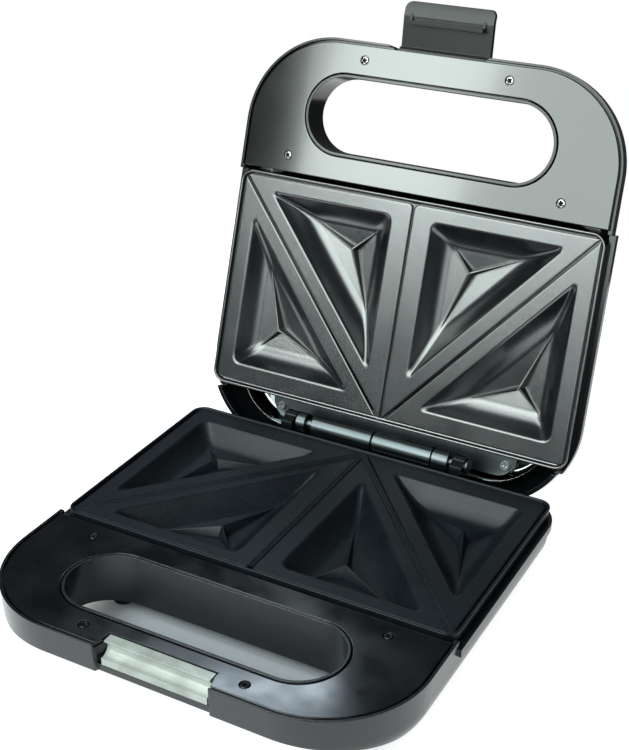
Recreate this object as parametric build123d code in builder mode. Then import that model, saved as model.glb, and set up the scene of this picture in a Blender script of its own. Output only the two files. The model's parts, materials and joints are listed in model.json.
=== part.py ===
from build123d import *
import math
import os

os.makedirs("parts", exist_ok=True)

# Two-slice sandwich toaster, lid open. All sizes in millimetres.
#
# Both halves are drawn in the same way. Each half has a face plane through the hinge
# axis: local X runs along the hinge, local Y runs from the hinge towards the handle,
# and local Z points at the other half. "Depth" is measured from that plane into the half.

# ---------------------------------------------------------------- driving sizes
LID_ANGLE = 108.4            # lid opening, from closed to resting on its stop
LATCH_SWING = 80.5           # latch travel, from standing out to hooked on the base

# Cooking plates
PLATE_WIDTH = 222.0
PLATE_LENGTH = 127.4
PLATE_CORNER = 7.0
PLATE_TOP = 0.4              # depth of the raised lip
LIP_WIDTH = 2.2
LIP_HEIGHT = 1.0
GROOVE_WIDTH = 2.0
GROOVE_DEPTH = 0.8
PLATE_THICKNESS = 3.0        # land to underside
SKIRT_WIDTH = 2.6
SEAM_WIDTH = 1.6
SEAM_DEPTH = 0.7
RIDGE_WIDTH = 3.6
RIDGE_HEIGHT = 0.8

# Sandwich pockets
POCKET_FROM_SEAM = 12.4      # centre seam to the nearest pocket edge
POCKET_FROM_DIAGONAL = 9.2
POCKET_FROM_SIDE = 11.3
POCKET_FROM_HANDLE_EDGE = 10.6
POCKET_FROM_HINGE_EDGE = 12.8
POCKET_CORNER = 5.0
POCKET_TIP = 1.8
POCKET_DEPTH = 11.8          # land to the pocket's floor
POCKET_WALL = 1.8
FIN_HEIGHT = 5.7             # floor to the top of the fin, at its centre
FIN_REACH = 0.56             # share of the way from the centre to each corner
FIN_FOOT = 0.75              # share of the pocket's depth where a branch runs out
FIN_WIDTH = 3.2
FIN_TIP_WIDTH = 0.8

# Posts under the plates, which carry them on the heat shields
POST_RADIUS = 4.0
POST_FROM_SIDE = 22.0
POST_FROM_HANDLE_EDGE = 13.1
SEAM_POST_FROM_HANDLE_EDGE = 18.6
SEAM_POST_FROM_HINGE_EDGE = 16.8

# Heating elements
ELEMENT_RADIUS = 3.3
ELEMENT_GAP = 0.2            # pocket underside to the element
ELEMENT_FROM_HANDLE_EDGE = 40.6
ELEMENT_LEG_SPACING = 48.0
ELEMENT_FROM_WALL = 1.6      # bend to the tray's wall
PIN_RADIUS = 1.3
PIN_LENGTH = 9.0
PIN_FROM_WALL = 4.8
SADDLE_LENGTH = 9.0
SADDLE_WIDTH = 10.0
SADDLE_RISE = 3.0
SADDLE_SPREAD = 40.0

# Heat shield trays, under the plates
TRAY_SHEET = 0.8
TRAY_BELOW_ELEMENT = 1.6
TRAY_RIM = 10.0
TRAY_FROM_SIDE = 12.8
TRAY_FROM_COVER = 6.5
TRAY_FROM_BASE_REAR = 6.6
TRAY_FROM_LID_REAR = 6.6
BASE_TRAY_CORNER = 12.0
LID_TRAY_CORNER = 36.0
TRAY_EDGE_RADIUS = 4.0
TRAY_SCREW_SPREAD = 60.0
TRAY_SCREW_FROM_FRONT = 9.0
BASE_TRAY_SCREW_FROM_SIDE = 14.6
BASE_TRAY_SCREW_FROM_REAR = 10.0

# Casings
CASE_WALL = 2.4
CASE_DRAFT = 4.0             # slope of the walls
PLATE_GAP = 0.4              # plate to the casing's wall
HANDLE_LENGTH = 80.3         # cover's hinge-side edge to the front of the handle
FRONT_CORNER = 53.0
COVER_FROM_PLATE = 2.9
COVER_GAP = 1.1              # handle cover to the rim round it
COVER_NOTCH_GAP = 0.6        # handle cover to the keeper's recess
COVER_EDGE_RADIUS = 0.5
COVER_TOP = 1.4              # depth of the handle cover's face
COVER_THICKNESS = 2.2
RIM_TOP = 1.2                # depth of the rim beside the handle cover
RIM_WIDTH = 1.4              # the rim beside the handle cover
PLATE_RIM = 6.0              # depth of the rim beside the plate
BEAD_WIDTH = 1.1
BEAD_HEIGHT = 4.0
DIVIDER_WALL = 2.2

BASE_BELOW_TRAY = 3.4
BASE_REAR_CORNER = 20.0
BASE_EDGE_RADIUS = 15.0
BASE_FRONT_DEPTH = 16.2      # depth of the handle's front edge
BASE_SLOPE_FROM_COVER = 8.5  # where the handle's underside starts to rise

LID_ABOVE_TRAY = 5.4
LID_HANDLE_DEPTH = 20.0
LID_REAR = -17.0
LID_REAR_CORNER = 50.0
LID_RIM_STEP = 8.0           # the rim is high behind this line
LID_DOME_FROM_COVER = 6.5
LID_DOME_CORNER = 30.0
LID_EDGE_RADIUS = 26.0
LID_HANDLE_RADIUS = 12.0

# Handle holes
HOLE_FROM_COVER = 13.5
HOLE_HEIGHT = 47.5
HOLE_FROM_SIDE = 37.3
HOLE_WALL = 1.6
HOLE_GAP = 0.6               # handle cover to the hole's wall

# Screws
SCREW_RADIUS = 1.25
SCREW_HEAD_RADIUS = 2.6
SCREW_HEAD_HEIGHT = 1.8
SCREW_LENGTH = 9.0
SCREW_BITE = 3.6             # how far the short screws reach into a boss
SCREW_FIT = 0.05
CROSS_WIDTH = 0.9
CROSS_LENGTH = 3.2
CROSS_DEPTH = 1.0
BOSS_RADIUS = 4.0
COVER_SCREW_SPREAD = 43.7
COVER_SCREW_FROM_FRONT = 10.7
COVER_SCREW_FROM_SIDE = 30.3
COVER_SCREW_FROM_EDGE = 9.6

# Thermostat and thermal fuse, in the base
THERMOSTAT_FROM_HANDLE_EDGE = 64.6
THERMOSTAT_RADIUS = 8.0
THERMOSTAT_HEIGHT = 6.5
THERMOSTAT_CAP_RADIUS = 6.2
THERMOSTAT_CAP_HEIGHT = 3.0
THERMOSTAT_STRAP = (19.2, 4.0, 1.0)
FUSE_RADIUS = 1.6
FUSE_LENGTH = 14.0
FUSE_OFFSET = 31.0
FUSE_LEAD_RADIUS = 0.5
FUSE_LEAD_LENGTH = 8.0

# Terminal block and mains inlet, in the base
BLOCK_SIZE = (15.0, 30.0, 10.0)
BLOCK_TOP = 7.0
BLOCK_WAYS = 3
BLOCK_WELL_RADIUS = 2.0
BLOCK_WELL_DEPTH = 3.0
BLOCK_SCREW_RADIUS = 1.7
INLET_PLACE = 40.0           # hinge axis to the inlet in the left wall
INLET_DEPTH = 16.0
INLET_RADIUS = 4.4
INLET_BORE = 3.4
INLET_FLANGE = 1.3
INLET_INNER = 1.1            # how far the bush stands inside the wall

# Feet
FOOT_RADIUS = 6.5
FOOT_TIP_RADIUS = 5.4
FOOT_HEIGHT = 5.5
FOOT_BOSS_RADIUS = 7.6
FOOT_BOSS_HEIGHT = 8.0
FOOT_RECESS_RADIUS = 3.2
FOOT_RECESS_DEPTH = 3.0
FOOT_SCREW_BITE = 4.6
FRONT_FOOT_SPREAD = 68.0
FRONT_FOOT_FROM_COVER = 7.5
REAR_FOOT_SPREAD = 88.0
REAR_FOOT_FROM_REAR = 10.3

# Hinge
HINGE_PIN_RADIUS = 3.0
HINGE_FIT = 0.05
KNUCKLE_RADIUS = 5.75
LEAF_SHEET = 1.5
LID_KNUCKLES = [(-48.7, -43.3), (0.5, 36.5)]
BASE_KNUCKLES = [(-38.6, -0.7), (37.4, 46.7)]
BASE_LEAF_FROM_RIM = 1.5
BASE_LEAF_HEIGHT = 6.0
BASE_LEAF_SCREWS = [-30.0, -8.0, 42.0]
LEAF_SCREW_HEAD_RADIUS = 2.4
LEAF_SCREW_HEAD_HEIGHT = 1.5
LEAF_SCREW_LENGTH = 5.5
LID_LEAF_ABOVE_TRAY = 1.9
LID_LEAF_HALF_WIDTH = 78.0
LID_LEAF_CORNER = 12.0
LID_LEAF_FRONT = 9.0
LID_LEAF_SCREW_PLACE = (72.0, 1.2)
LID_LEAF_BOSS_GAP = 0.4
EAR_INNER = 49.6
EAR_WIDTH = 7.0
EAR_RADIUS = 5.6
EAR_BOTTOM = 14.0
PIN_HEAD_RADIUS = 4.2
PIN_HEAD_HEIGHT = 1.4
PLATE_FROM_HINGE = 11.2      # hinge axis to the plates' hinge-side edge

# Latch
LATCH_FROM_FRONT = 2.8       # front of the handle to the latch's pivot
LATCH_DEPTH = 11.2           # depth of the pivot in the lid
LATCH_HALF_WIDTH = 27.0
LATCH_BARREL_RADIUS = 3.2
LATCH_PIN_RADIUS = 1.25
LATCH_PIN_REACH = 2.6        # how far the pin reaches into the lid's walls
LATCH_FIT = 0.05
LATCH_INNER = 0.3            # pivot to the latch's inner face
LATCH_THICKNESS = 3.2
LATCH_LENGTH = 28.4
LATCH_BEND = 20.5
LATCH_FLARE = 2.0
LATCH_EDGE = 2.0             # thickness at the free edge
LATCH_CORNER = 3.6
BAR_PLACE = 17.4             # pivot to the middle of the hook bar
BAR_HEIGHT = 2.2
BAR_REACH = 4.8
BAR_INSET = 4.2
GUSSET_LENGTH = 4.2
GUSSET_WIDTH = 1.6
NOTCH_SIDE_GAP = 0.6
NOTCH_DEPTH = 9.2
NOTCH_FLARE = 3.4
NOTCH_FLARE_DEPTH = 2.0
NOTCH_WALL = 3.0

# Keeper, the piece in the base that the latch hooks on
KEEPER_SIDE_GAP = 1.6
KEEPER_DEPTH = 8.1           # front to back
KEEPER_FROM_FRONT = 3.2
KEEPER_FIT = 0.2
KEEPER_TOP = 1.8
KEEPER_HEIGHT = 11.4
KEEPER_LIP = 0.8
KEEPER_LIP_REACH = 5.2
KEEPER_BACK = 2.7            # thickness behind the groove
GROOVE_TOP = 3.6             # from the keeper's top to the back of its groove
GROOVE_BOTTOM = 7.8
RECESS_FLARE = 2.6
RECESS_WALL = 2.2

# Indicator lamps, in the lid
LAMP_SPREAD = 11.0
LAMP_FROM_HANDLE_EDGE = 26.6
LENS_RADIUS = 3.6
LENS_FLANGE = 0.9
LENS_FLANGE_HEIGHT = 1.2
LENS_FIT = 0.1
LENS_INNER = 0.6             # how far a lens stands inside the lid's skin
NEON_RADIUS = 2.2
NEON_LENGTH = 13.0

MARGIN = 20.0                # how far a cut runs past what it cuts

# ---------------------------------------------------------------- worked-out sizes
SIN_LID = math.sin(math.radians(LID_ANGLE))
COS_LID = math.cos(math.radians(LID_ANGLE))
DRAFT = math.tan(math.radians(CASE_DRAFT))

LAND = PLATE_TOP + LIP_HEIGHT
PLATE_UNDER = LAND + PLATE_THICKNESS
SKIRT_DEPTH = PLATE_RIM - PLATE_GAP
PLATE_START = PLATE_FROM_HINGE
PLATE_END = PLATE_START + PLATE_LENGTH
POCKET_FLOOR = LAND + POCKET_DEPTH
POCKET_UNDER = POCKET_FLOOR + POCKET_WALL

ELEMENT_DEPTH = POCKET_UNDER + ELEMENT_GAP + ELEMENT_RADIUS
ELEMENT_FRONT_LEG = PLATE_END - ELEMENT_FROM_HANDLE_EDGE
ELEMENT_REAR_LEG = ELEMENT_FRONT_LEG - ELEMENT_LEG_SPACING
TRAY_FLOOR = ELEMENT_DEPTH + ELEMENT_RADIUS + TRAY_BELOW_ELEMENT
TRAY_UNDER = TRAY_FLOOR + TRAY_SHEET
BASE_DEPTH = TRAY_UNDER + BASE_BELOW_TRAY + CASE_WALL
LID_DOME_DEPTH = TRAY_UNDER + LID_ABOVE_TRAY + CASE_WALL

CASE_HALF_WIDTH = PLATE_WIDTH / 2 + PLATE_GAP + CASE_WALL
COVER_START = PLATE_END + COVER_FROM_PLATE
CASE_FRONT = COVER_START + HANDLE_LENGTH
BASE_REAR = KNUCKLE_RADIUS
COVER_UNDER = COVER_TOP + COVER_THICKNESS
COVER_INSET = RIM_WIDTH + COVER_GAP
PLATE_RIM_END = COVER_START - DIVIDER_WALL
BASE_SLOPE_START = COVER_START + BASE_SLOPE_FROM_COVER
BASE_SLOPE = (BASE_DEPTH - BASE_FRONT_DEPTH) / (CASE_FRONT - BASE_SLOPE_START)
LID_DOME_FRONT = COVER_START + LID_DOME_FROM_COVER

HOLE_HALF_HEIGHT = HOLE_HEIGHT / 2
HOLE_HALF_LENGTH = CASE_HALF_WIDTH - HOLE_FROM_SIDE
HOLE_CENTRE = COVER_START + HOLE_FROM_COVER + HOLE_HALF_HEIGHT

TRAY_HALF_WIDTH = CASE_HALF_WIDTH - CASE_WALL - TRAY_FROM_SIDE
TRAY_FRONT = COVER_START - TRAY_FROM_COVER
TRAY_INSIDE = TRAY_HALF_WIDTH - TRAY_SHEET
ELEMENT_BEND_START = TRAY_INSIDE - ELEMENT_FROM_WALL - ELEMENT_RADIUS - ELEMENT_LEG_SPACING / 2
ELEMENT_LEG_START = PIN_FROM_WALL + PIN_LENGTH - TRAY_INSIDE
BASE_TRAY_REAR = BASE_REAR + CASE_WALL + TRAY_FROM_BASE_REAR
LID_TRAY_REAR = LID_REAR + CASE_WALL + TRAY_FROM_LID_REAR
LID_LEAF_UNDER = TRAY_FLOOR - LID_LEAF_ABOVE_TRAY
BASE_LEAF_TOP = PLATE_RIM + BASE_LEAF_FROM_RIM
BASE_LEAF_BOTTOM = BASE_LEAF_TOP + BASE_LEAF_HEIGHT
EAR_OUTER = EAR_INNER + EAR_WIDTH

LATCH_PIVOT = CASE_FRONT - LATCH_FROM_FRONT
LATCH_OUTER = LATCH_INNER + LATCH_THICKNESS
NOTCH_HALF_WIDTH = LATCH_HALF_WIDTH + NOTCH_SIDE_GAP
NOTCH_BACK = CASE_FRONT - NOTCH_DEPTH
BAR_HALF_LENGTH = LATCH_HALF_WIDTH - BAR_INSET
LATCH_PIN_HALF_LENGTH = NOTCH_HALF_WIDTH + LATCH_PIN_REACH
RECESS_HALF_WIDTH = LATCH_HALF_WIDTH + KEEPER_SIDE_GAP + KEEPER_FIT
KEEPER_FRONT = CASE_FRONT - KEEPER_FROM_FRONT
RECESS_BACK = KEEPER_FRONT - KEEPER_DEPTH
KEEPER_BOTTOM = KEEPER_TOP + KEEPER_HEIGHT


def pair(across, along):
    """The same place left and right of the middle."""
    return [(-across, along), (across, along)]


COVER_SCREWS = pair(COVER_SCREW_SPREAD, CASE_FRONT - COVER_SCREW_FROM_FRONT) + pair(
    CASE_HALF_WIDTH - COVER_SCREW_FROM_SIDE, COVER_START + COVER_SCREW_FROM_EDGE
)
TRAY_FRONT_SCREWS = pair(TRAY_SCREW_SPREAD, TRAY_FRONT - TRAY_SCREW_FROM_FRONT)
BASE_TRAY_SCREWS = TRAY_FRONT_SCREWS + pair(
    TRAY_HALF_WIDTH - BASE_TRAY_SCREW_FROM_SIDE, BASE_TRAY_REAR + BASE_TRAY_SCREW_FROM_REAR
)
LID_LEAF_SCREWS = pair(*LID_LEAF_SCREW_PLACE)
POSTS = pair(PLATE_WIDTH / 2 - POST_FROM_SIDE, PLATE_END - POST_FROM_HANDLE_EDGE) + [
    (0.0, PLATE_END - SEAM_POST_FROM_HANDLE_EDGE),
    (0.0, PLATE_START + SEAM_POST_FROM_HINGE_EDGE),
]
SADDLES = pair(SADDLE_SPREAD, ELEMENT_REAR_LEG) + [(0.0, ELEMENT_FRONT_LEG)]
FOOT_PLACES = pair(FRONT_FOOT_SPREAD, COVER_START + FRONT_FOOT_FROM_COVER) + pair(
    REAR_FOOT_SPREAD, BASE_REAR + REAR_FOOT_FROM_REAR
)
THERMOSTAT_PLACE = (0.0, PLATE_END - THERMOSTAT_FROM_HANDLE_EDGE)
FUSE_PLACE = (THERMOSTAT_PLACE[0] + FUSE_OFFSET, THERMOSTAT_PLACE[1])
BLOCK_PLACE = (-(HOLE_HALF_LENGTH + CASE_HALF_WIDTH - CASE_WALL) / 2, HOLE_CENTRE)
LAMP_PLACES = {
    "power": (-LAMP_SPREAD, PLATE_END - LAMP_FROM_HANDLE_EDGE),
    "ready": (LAMP_SPREAD, PLATE_END - LAMP_FROM_HANDLE_EDGE),
}


def back_reach(along, depth):
    """How far behind the hinge a place in the open lid lies."""
    return depth * SIN_LID - along * COS_LID


# The origin is on the table, in the middle of the open toaster's outline. What reaches
# furthest back is the latch's free edge or the rounded edge of the lid's handle.
LATCH_LEAN = math.radians(LID_ANGLE + LATCH_SWING)
LATCH_BACK = (
    back_reach(LATCH_PIVOT, LATCH_DEPTH)
    - (LATCH_OUTER + LATCH_FLARE) * math.cos(LATCH_LEAN)
    - LATCH_LENGTH * math.sin(LATCH_LEAN)
)
HANDLE_BACK = (
    back_reach(CASE_FRONT - LID_HANDLE_RADIUS, LID_HANDLE_DEPTH - LID_HANDLE_RADIUS) + LID_HANDLE_RADIUS
)
HINGE = Vector(0, (CASE_FRONT - max(LATCH_BACK, HANDLE_BACK)) / 2, BASE_DEPTH + FOOT_HEIGHT)

BASE_FACE = Plane(origin=HINGE, x_dir=(-1, 0, 0), z_dir=(0, 0, 1))
LID_FACE = Plane(origin=HINGE, x_dir=(1, 0, 0), z_dir=(0, -SIN_LID, -COS_LID))


def at_depth(face, depth):
    """The plane parallel to a half's face, at a depth into the half."""
    return face.offset(-depth)


def side_plane(face, across=0.0):
    """The plane square to the hinge: local X runs to the handle, local Y is minus depth."""
    return Plane(origin=face.from_local_coords((across, 0, 0)), x_dir=face.y_dir, z_dir=face.x_dir)


def deepest(part, face):
    """The flat face of a part that lies deepest in its half."""
    return part.faces().sort_by(Axis(face.origin, face.z_dir))[0]


def save(part, name):
    """Labels a finished piece and writes it to its file."""
    part.label = name
    export_step(part, f"parts/{name}.step")


# ---------------------------------------------------------------- outlines
def case_outline(inset, rear, rear_corner, front=CASE_FRONT, front_corner=FRONT_CORNER):
    """A casing's outline, drawn inside its full size by an inset."""
    with BuildSketch() as outline:
        with Locations((0, rear + inset)):
            Rectangle(
                2 * (CASE_HALF_WIDTH - inset), front - rear - 2 * inset, align=(Align.CENTER, Align.MIN)
            )
        rows = outline.vertices().group_by(Axis.Y)
        fillet(rows[-1], radius=front_corner - inset)
        fillet(outline.vertices().group_by(Axis.Y)[0], radius=rear_corner - inset)
    return outline.sketch


def tray_outline(inset, rear, rear_corner):
    """A heat shield's outline."""
    with BuildSketch() as outline:
        with Locations((0, rear + inset)):
            Rectangle(
                2 * (TRAY_HALF_WIDTH - inset),
                TRAY_FRONT - rear - 2 * inset,
                align=(Align.CENTER, Align.MIN),
            )
        fillet(outline.vertices().group_by(Axis.Y)[-1], radius=BASE_TRAY_CORNER - inset)
        fillet(outline.vertices().group_by(Axis.Y)[0], radius=rear_corner - inset)
    return outline.sketch


def plate_outline(inset):
    """A cooking plate's outline, drawn inside its full size by an inset."""
    with BuildSketch() as outline:
        with Locations((0, (PLATE_START + PLATE_END) / 2)):
            RectangleRounded(
                PLATE_WIDTH - 2 * inset, PLATE_LENGTH - 2 * inset, max(PLATE_CORNER - inset, PLATE_CORNER / 3)
            )
    return outline.sketch


def hole_outline(inset):
    """The handle hole, drawn inside the cover's opening by an inset."""
    with BuildSketch() as outline:
        with Locations((0, HOLE_CENTRE)):
            SlotOverall(2 * (HOLE_HALF_LENGTH - inset), 2 * (HOLE_HALF_HEIGHT - inset))
    return outline.sketch


def front_cut_outline(back, half_width, break_along, flare, grow):
    """A cut into the front of a handle that widens towards its mouth, grown by a wall."""
    mouth = half_width + flare
    with BuildSketch() as outline:
        with BuildLine():
            Polyline(
                (-half_width - grow, back - grow),
                (half_width + grow, back - grow),
                (half_width + grow, break_along),
                (mouth + grow, CASE_FRONT),
                (mouth + grow, CASE_FRONT + MARGIN),
                (-mouth - grow, CASE_FRONT + MARGIN),
                (-mouth - grow, CASE_FRONT),
                (-half_width - grow, break_along),
                close=True,
            )
        make_face()
    return outline.sketch


def notch_outline(grow):
    """The notch in the lid that the latch turns in."""
    return front_cut_outline(
        NOTCH_BACK, NOTCH_HALF_WIDTH, CASE_FRONT - NOTCH_FLARE_DEPTH, NOTCH_FLARE, grow
    )


def recess_outline(grow):
    """The recess in the base's handle that the keeper fills."""
    return front_cut_outline(RECESS_BACK, RECESS_HALF_WIDTH, RECESS_BACK + CASE_WALL, RECESS_FLARE, grow)


def cover_outline(inset, rear, rear_corner, opening):
    """The part of a casing's outline that the handle cover fills, with its opening cut out."""
    with BuildSketch() as outline:
        add(case_outline(inset, rear, rear_corner))
        with Locations((0, COVER_START)):
            Rectangle(2 * CASE_HALF_WIDTH, CASE_FRONT, align=(Align.CENTER, Align.MIN), mode=Mode.INTERSECT)
        add(hole_outline(opening), mode=Mode.SUBTRACT)
    return outline.sketch


# ---------------------------------------------------------------- shared solids
def columns(face, places, radius, top, bottom):
    """Round columns between two depths."""
    with BuildPart() as group:
        with BuildSketch(at_depth(face, bottom)):
            with Locations(*places):
                Circle(radius)
        extrude(amount=bottom - top)
    return group.part


def slab(face, sketch, top, bottom):
    """A sketch in the plane of a half, extruded between two depths."""
    with BuildPart() as block:
        with BuildSketch(at_depth(face, bottom)):
            add(sketch)
        extrude(amount=bottom - top)
    return block.part


def band(face, start, end, top, bottom):
    """A block right across a half, between two lengths and two depths."""
    with BuildPart() as block:
        with BuildSketch(at_depth(face, bottom)):
            with Locations((0, start)):
                Rectangle(2 * (CASE_HALF_WIDTH + MARGIN), end - start, align=(Align.CENTER, Align.MIN))
        extrude(amount=bottom - top)
    return block.part


def drafted(face, inset, depth, radius, rear, rear_corner, front=CASE_FRONT, front_corner=FRONT_CORNER):
    """A casing's body, drawn inside its full size by an inset. Its rear wall stands upright."""
    slope = (depth - inset) * DRAFT
    with BuildPart() as body:
        with BuildSketch(face):
            add(case_outline(inset, rear, rear_corner, front, front_corner))
        with BuildSketch(at_depth(face, depth - inset)):
            add(case_outline(inset + slope, rear - slope, rear_corner, front, front_corner))
        loft(ruled=True)
        fillet(deepest(body, face).edges(), radius=radius - inset)
    return body.part


def screw(plane, head_radius=SCREW_HEAD_RADIUS, head_height=SCREW_HEAD_HEIGHT, length=SCREW_LENGTH):
    """A cross-head screw. The plane is at the top of its head, its normal pointing out."""
    with BuildPart() as fastener:
        with BuildSketch(plane):
            Circle(head_radius)
        extrude(amount=-head_height)
        with BuildSketch(plane.offset(-head_height)):
            Circle(SCREW_RADIUS)
        extrude(amount=head_height - length)
        with BuildSketch(plane):
            Rectangle(CROSS_LENGTH, CROSS_WIDTH)
            Rectangle(CROSS_WIDTH, CROSS_LENGTH)
        extrude(amount=-CROSS_DEPTH, mode=Mode.SUBTRACT)
    return fastener.part


def screws(face, places, head_depth, length=SCREW_LENGTH, outwards=True):
    """A group of equal screws. Their heads show to the other half, or to the outside."""
    group = []
    for across, along in places:
        spot = Plane(
            origin=at_depth(face, head_depth).from_local_coords((across, along, 0)),
            x_dir=face.x_dir,
            z_dir=face.z_dir if outwards else -face.z_dir,
        )
        group.append(screw(spot, length=length))
    return Compound(children=group)


# ---------------------------------------------------------------- cooking plates
def pocket_corners(side, by_handle):
    """The corners of one triangular pocket, its square corner first. Side is 1 or -1."""
    half_width = PLATE_WIDTH / 2
    slope = PLATE_LENGTH / half_width
    shift = POCKET_FROM_DIAGONAL * math.hypot(1, slope)
    if by_handle:
        line_start = PLATE_START + shift
        near = POCKET_FROM_SEAM
        end = PLATE_END - POCKET_FROM_HANDLE_EDGE
        corners = [(near, end), (near, line_start + slope * near), ((end - line_start) / slope, end)]
    else:
        line_start = PLATE_START - shift
        far = half_width - POCKET_FROM_SIDE
        start = PLATE_START + POCKET_FROM_HINGE_EDGE
        corners = [(far, start), (far, line_start + slope * far), ((start - line_start) / slope, start)]
    return [(side * across, along) for across, along in corners]


def incentre(corners):
    """The point inside a triangle that is equally far from its sides, and that distance."""
    weights = [math.dist(corners[(i + 1) % 3], corners[(i + 2) % 3]) for i in range(3)]
    around = sum(weights)
    across = sum(w * c[0] for w, c in zip(weights, corners)) / around
    along = sum(w * c[1] for w, c in zip(weights, corners)) / around
    (ax, ay), (bx, by), (cx, cy) = corners
    area = abs((bx - ax) * (cy - ay) - (cx - ax) * (by - ay)) / 2
    return (across, along), 2 * area / around


# A pocket's section shrinks as it gets deeper: shares of its depth and of its width.
POCKET_STEPS = [(0.0, 1.0), (0.3, 0.87), (0.64, 0.65), (0.9, 0.36), (1.0, 0.14)]
POCKETS = [pocket_corners(side, by_handle) for side in (-1, 1) for by_handle in (True, False)]


def pocket(face, corners, wall=0.0):
    """A pocket's hollow, or with a wall the casting round it."""
    centre, radius = incentre(corners)
    with BuildPart() as hollow:
        for depth_share, width_share in POCKET_STEPS:
            depth = LAND + wall + depth_share * POCKET_DEPTH
            scale = width_share + wall / radius
            points = [
                (centre[0] + scale * (x - centre[0]), centre[1] + scale * (y - centre[1]))
                for x, y in corners
            ]
            with BuildSketch(at_depth(face, depth)) as section:
                with BuildLine():
                    Polyline(*points, close=True)
                make_face()
                square = section.vertices().sort_by_distance(points[0])[:1]
                fillet(square, radius=POCKET_CORNER * scale)
                tips = [section.vertices().sort_by_distance(point)[0] for point in points[1:]]
                fillet(tips, radius=POCKET_TIP * scale)
        loft(ruled=True)
    return hollow.part


def fin_branch(face, centre, corner):
    """One branch of the three-way fin that stands in a pocket."""
    reach = FIN_REACH * math.dist(centre, corner)
    heading = math.atan2(corner[1] - centre[1], corner[0] - centre[0])
    top = POCKET_FLOOR - FIN_HEIGHT
    tip = LAND + POCKET_DEPTH * FIN_FOOT
    foot = POCKET_WALL / 2
    along = Plane(
        origin=face.from_local_coords((centre[0], centre[1], 0)),
        x_dir=face.x_dir * math.cos(heading) + face.y_dir * math.sin(heading),
        z_dir=face.z_dir,
    )
    upright = Plane(origin=along.origin, x_dir=along.x_dir, z_dir=-along.y_dir)
    with BuildPart() as branch:
        with BuildSketch(upright):
            with BuildLine():
                Polyline(
                    (-FIN_WIDTH / 4, -top),
                    (0, -top),
                    (reach, -tip),
                    (reach, -tip - foot),
                    (0, -POCKET_FLOOR - foot),
                    (-FIN_WIDTH / 4, -POCKET_FLOOR - foot),
                    close=True,
                )
            make_face()
        extrude(amount=FIN_WIDTH, both=True)
        with BuildSketch(at_depth(along, POCKET_UNDER)):
            with BuildLine():
                Polyline(
                    (-FIN_WIDTH / 4, 0),
                    (0, FIN_WIDTH / 2),
                    (reach, FIN_TIP_WIDTH / 2),
                    (reach, -FIN_TIP_WIDTH / 2),
                    (0, -FIN_WIDTH / 2),
                    close=True,
                )
            make_face()
        extrude(amount=POCKET_UNDER, mode=Mode.INTERSECT)
    return branch.part


def seam_lines(face, width, top, bottom):
    """The centre seam and the two diagonals between the pockets."""
    inset = LIP_WIDTH + GROOVE_WIDTH
    start = (0, PLATE_START + inset)
    ends = [(0, PLATE_END - inset)] + pair(PLATE_WIDTH / 2 - inset, PLATE_END - inset)
    with BuildPart() as lines:
        with BuildSketch(at_depth(face, bottom)):
            for end in ends:
                heading = math.degrees(math.atan2(end[1] - start[1], end[0] - start[0]))
                with Locations(Location(((start[0] + end[0]) / 2, (start[1] + end[1]) / 2), heading)):
                    Rectangle(math.dist(start, end) - RIDGE_WIDTH, width)
        extrude(amount=bottom - top)
    return lines.part


def cooking_plate(face, ridged):
    """A cast plate with four pockets. The base's plate has ridges, the lid's has grooves."""
    groove = plate_outline(LIP_WIDTH) - plate_outline(LIP_WIDTH + GROOVE_WIDTH)
    centres = [incentre(corners)[0] for corners in POCKETS]
    fins = [
        fin_branch(face, centre, corner) for centre, corners in zip(centres, POCKETS) for corner in corners
    ]
    with BuildPart() as plate:
        add(slab(face, plate_outline(0), PLATE_TOP, SKIRT_DEPTH))
        hollow = slab(face, plate_outline(SKIRT_WIDTH), PLATE_UNDER, SKIRT_DEPTH)
        inside = slab(face, plate_outline(LIP_WIDTH), 0, LAND)
        add([hollow, inside], mode=Mode.SUBTRACT)
        add([pocket(face, corners, wall=POCKET_WALL) for corners in POCKETS])
        add(columns(face, POSTS, POST_RADIUS, PLATE_UNDER, TRAY_FLOOR))
        cuts = [pocket(face, corners) for corners in POCKETS]
        cuts.append(slab(face, groove, LAND, LAND + GROOVE_DEPTH))
        cuts.append(columns(face, POSTS, SCREW_RADIUS + SCREW_FIT, TRAY_FLOOR - SCREW_LENGTH, TRAY_FLOOR))
        add(cuts, mode=Mode.SUBTRACT)
        add(fins)
        if ridged:
            add(seam_lines(face, RIDGE_WIDTH, LAND - RIDGE_HEIGHT, LAND))
        else:
            add(seam_lines(face, SEAM_WIDTH, LAND, LAND + SEAM_DEPTH), mode=Mode.SUBTRACT)
    return plate.part


# ---------------------------------------------------------------- casings
def underside_wedge(lift):
    """What is taken off below the base's handle, where its underside rises to the front."""
    start = BASE_DEPTH - lift
    run = CASE_FRONT + MARGIN - BASE_SLOPE_START
    with BuildPart() as wedge:
        with BuildSketch(side_plane(BASE_FACE)):
            with BuildLine():
                Polyline(
                    (BASE_SLOPE_START, -start),
                    (BASE_SLOPE_START + run, -start + BASE_SLOPE * run),
                    (BASE_SLOPE_START + run, -start - MARGIN),
                    (BASE_SLOPE_START, -start - MARGIN),
                    close=True,
                )
            make_face()
        extrude(amount=CASE_HALF_WIDTH + MARGIN, both=True)
    return wedge.part


def bead(face, rear, rear_corner, start):
    """The raised band round the rim beside the plate."""
    with BuildPart() as ring:
        with BuildSketch(at_depth(face, PLATE_RIM + BEAD_HEIGHT)):
            add(case_outline(-BEAD_WIDTH, rear, rear_corner))
            with Locations((0, start)):
                Rectangle(
                    2 * (CASE_HALF_WIDTH + MARGIN),
                    PLATE_RIM_END - start,
                    align=(Align.CENTER, Align.MIN),
                    mode=Mode.INTERSECT,
                )
        extrude(amount=BEAD_HEIGHT)
    return ring.part


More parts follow.
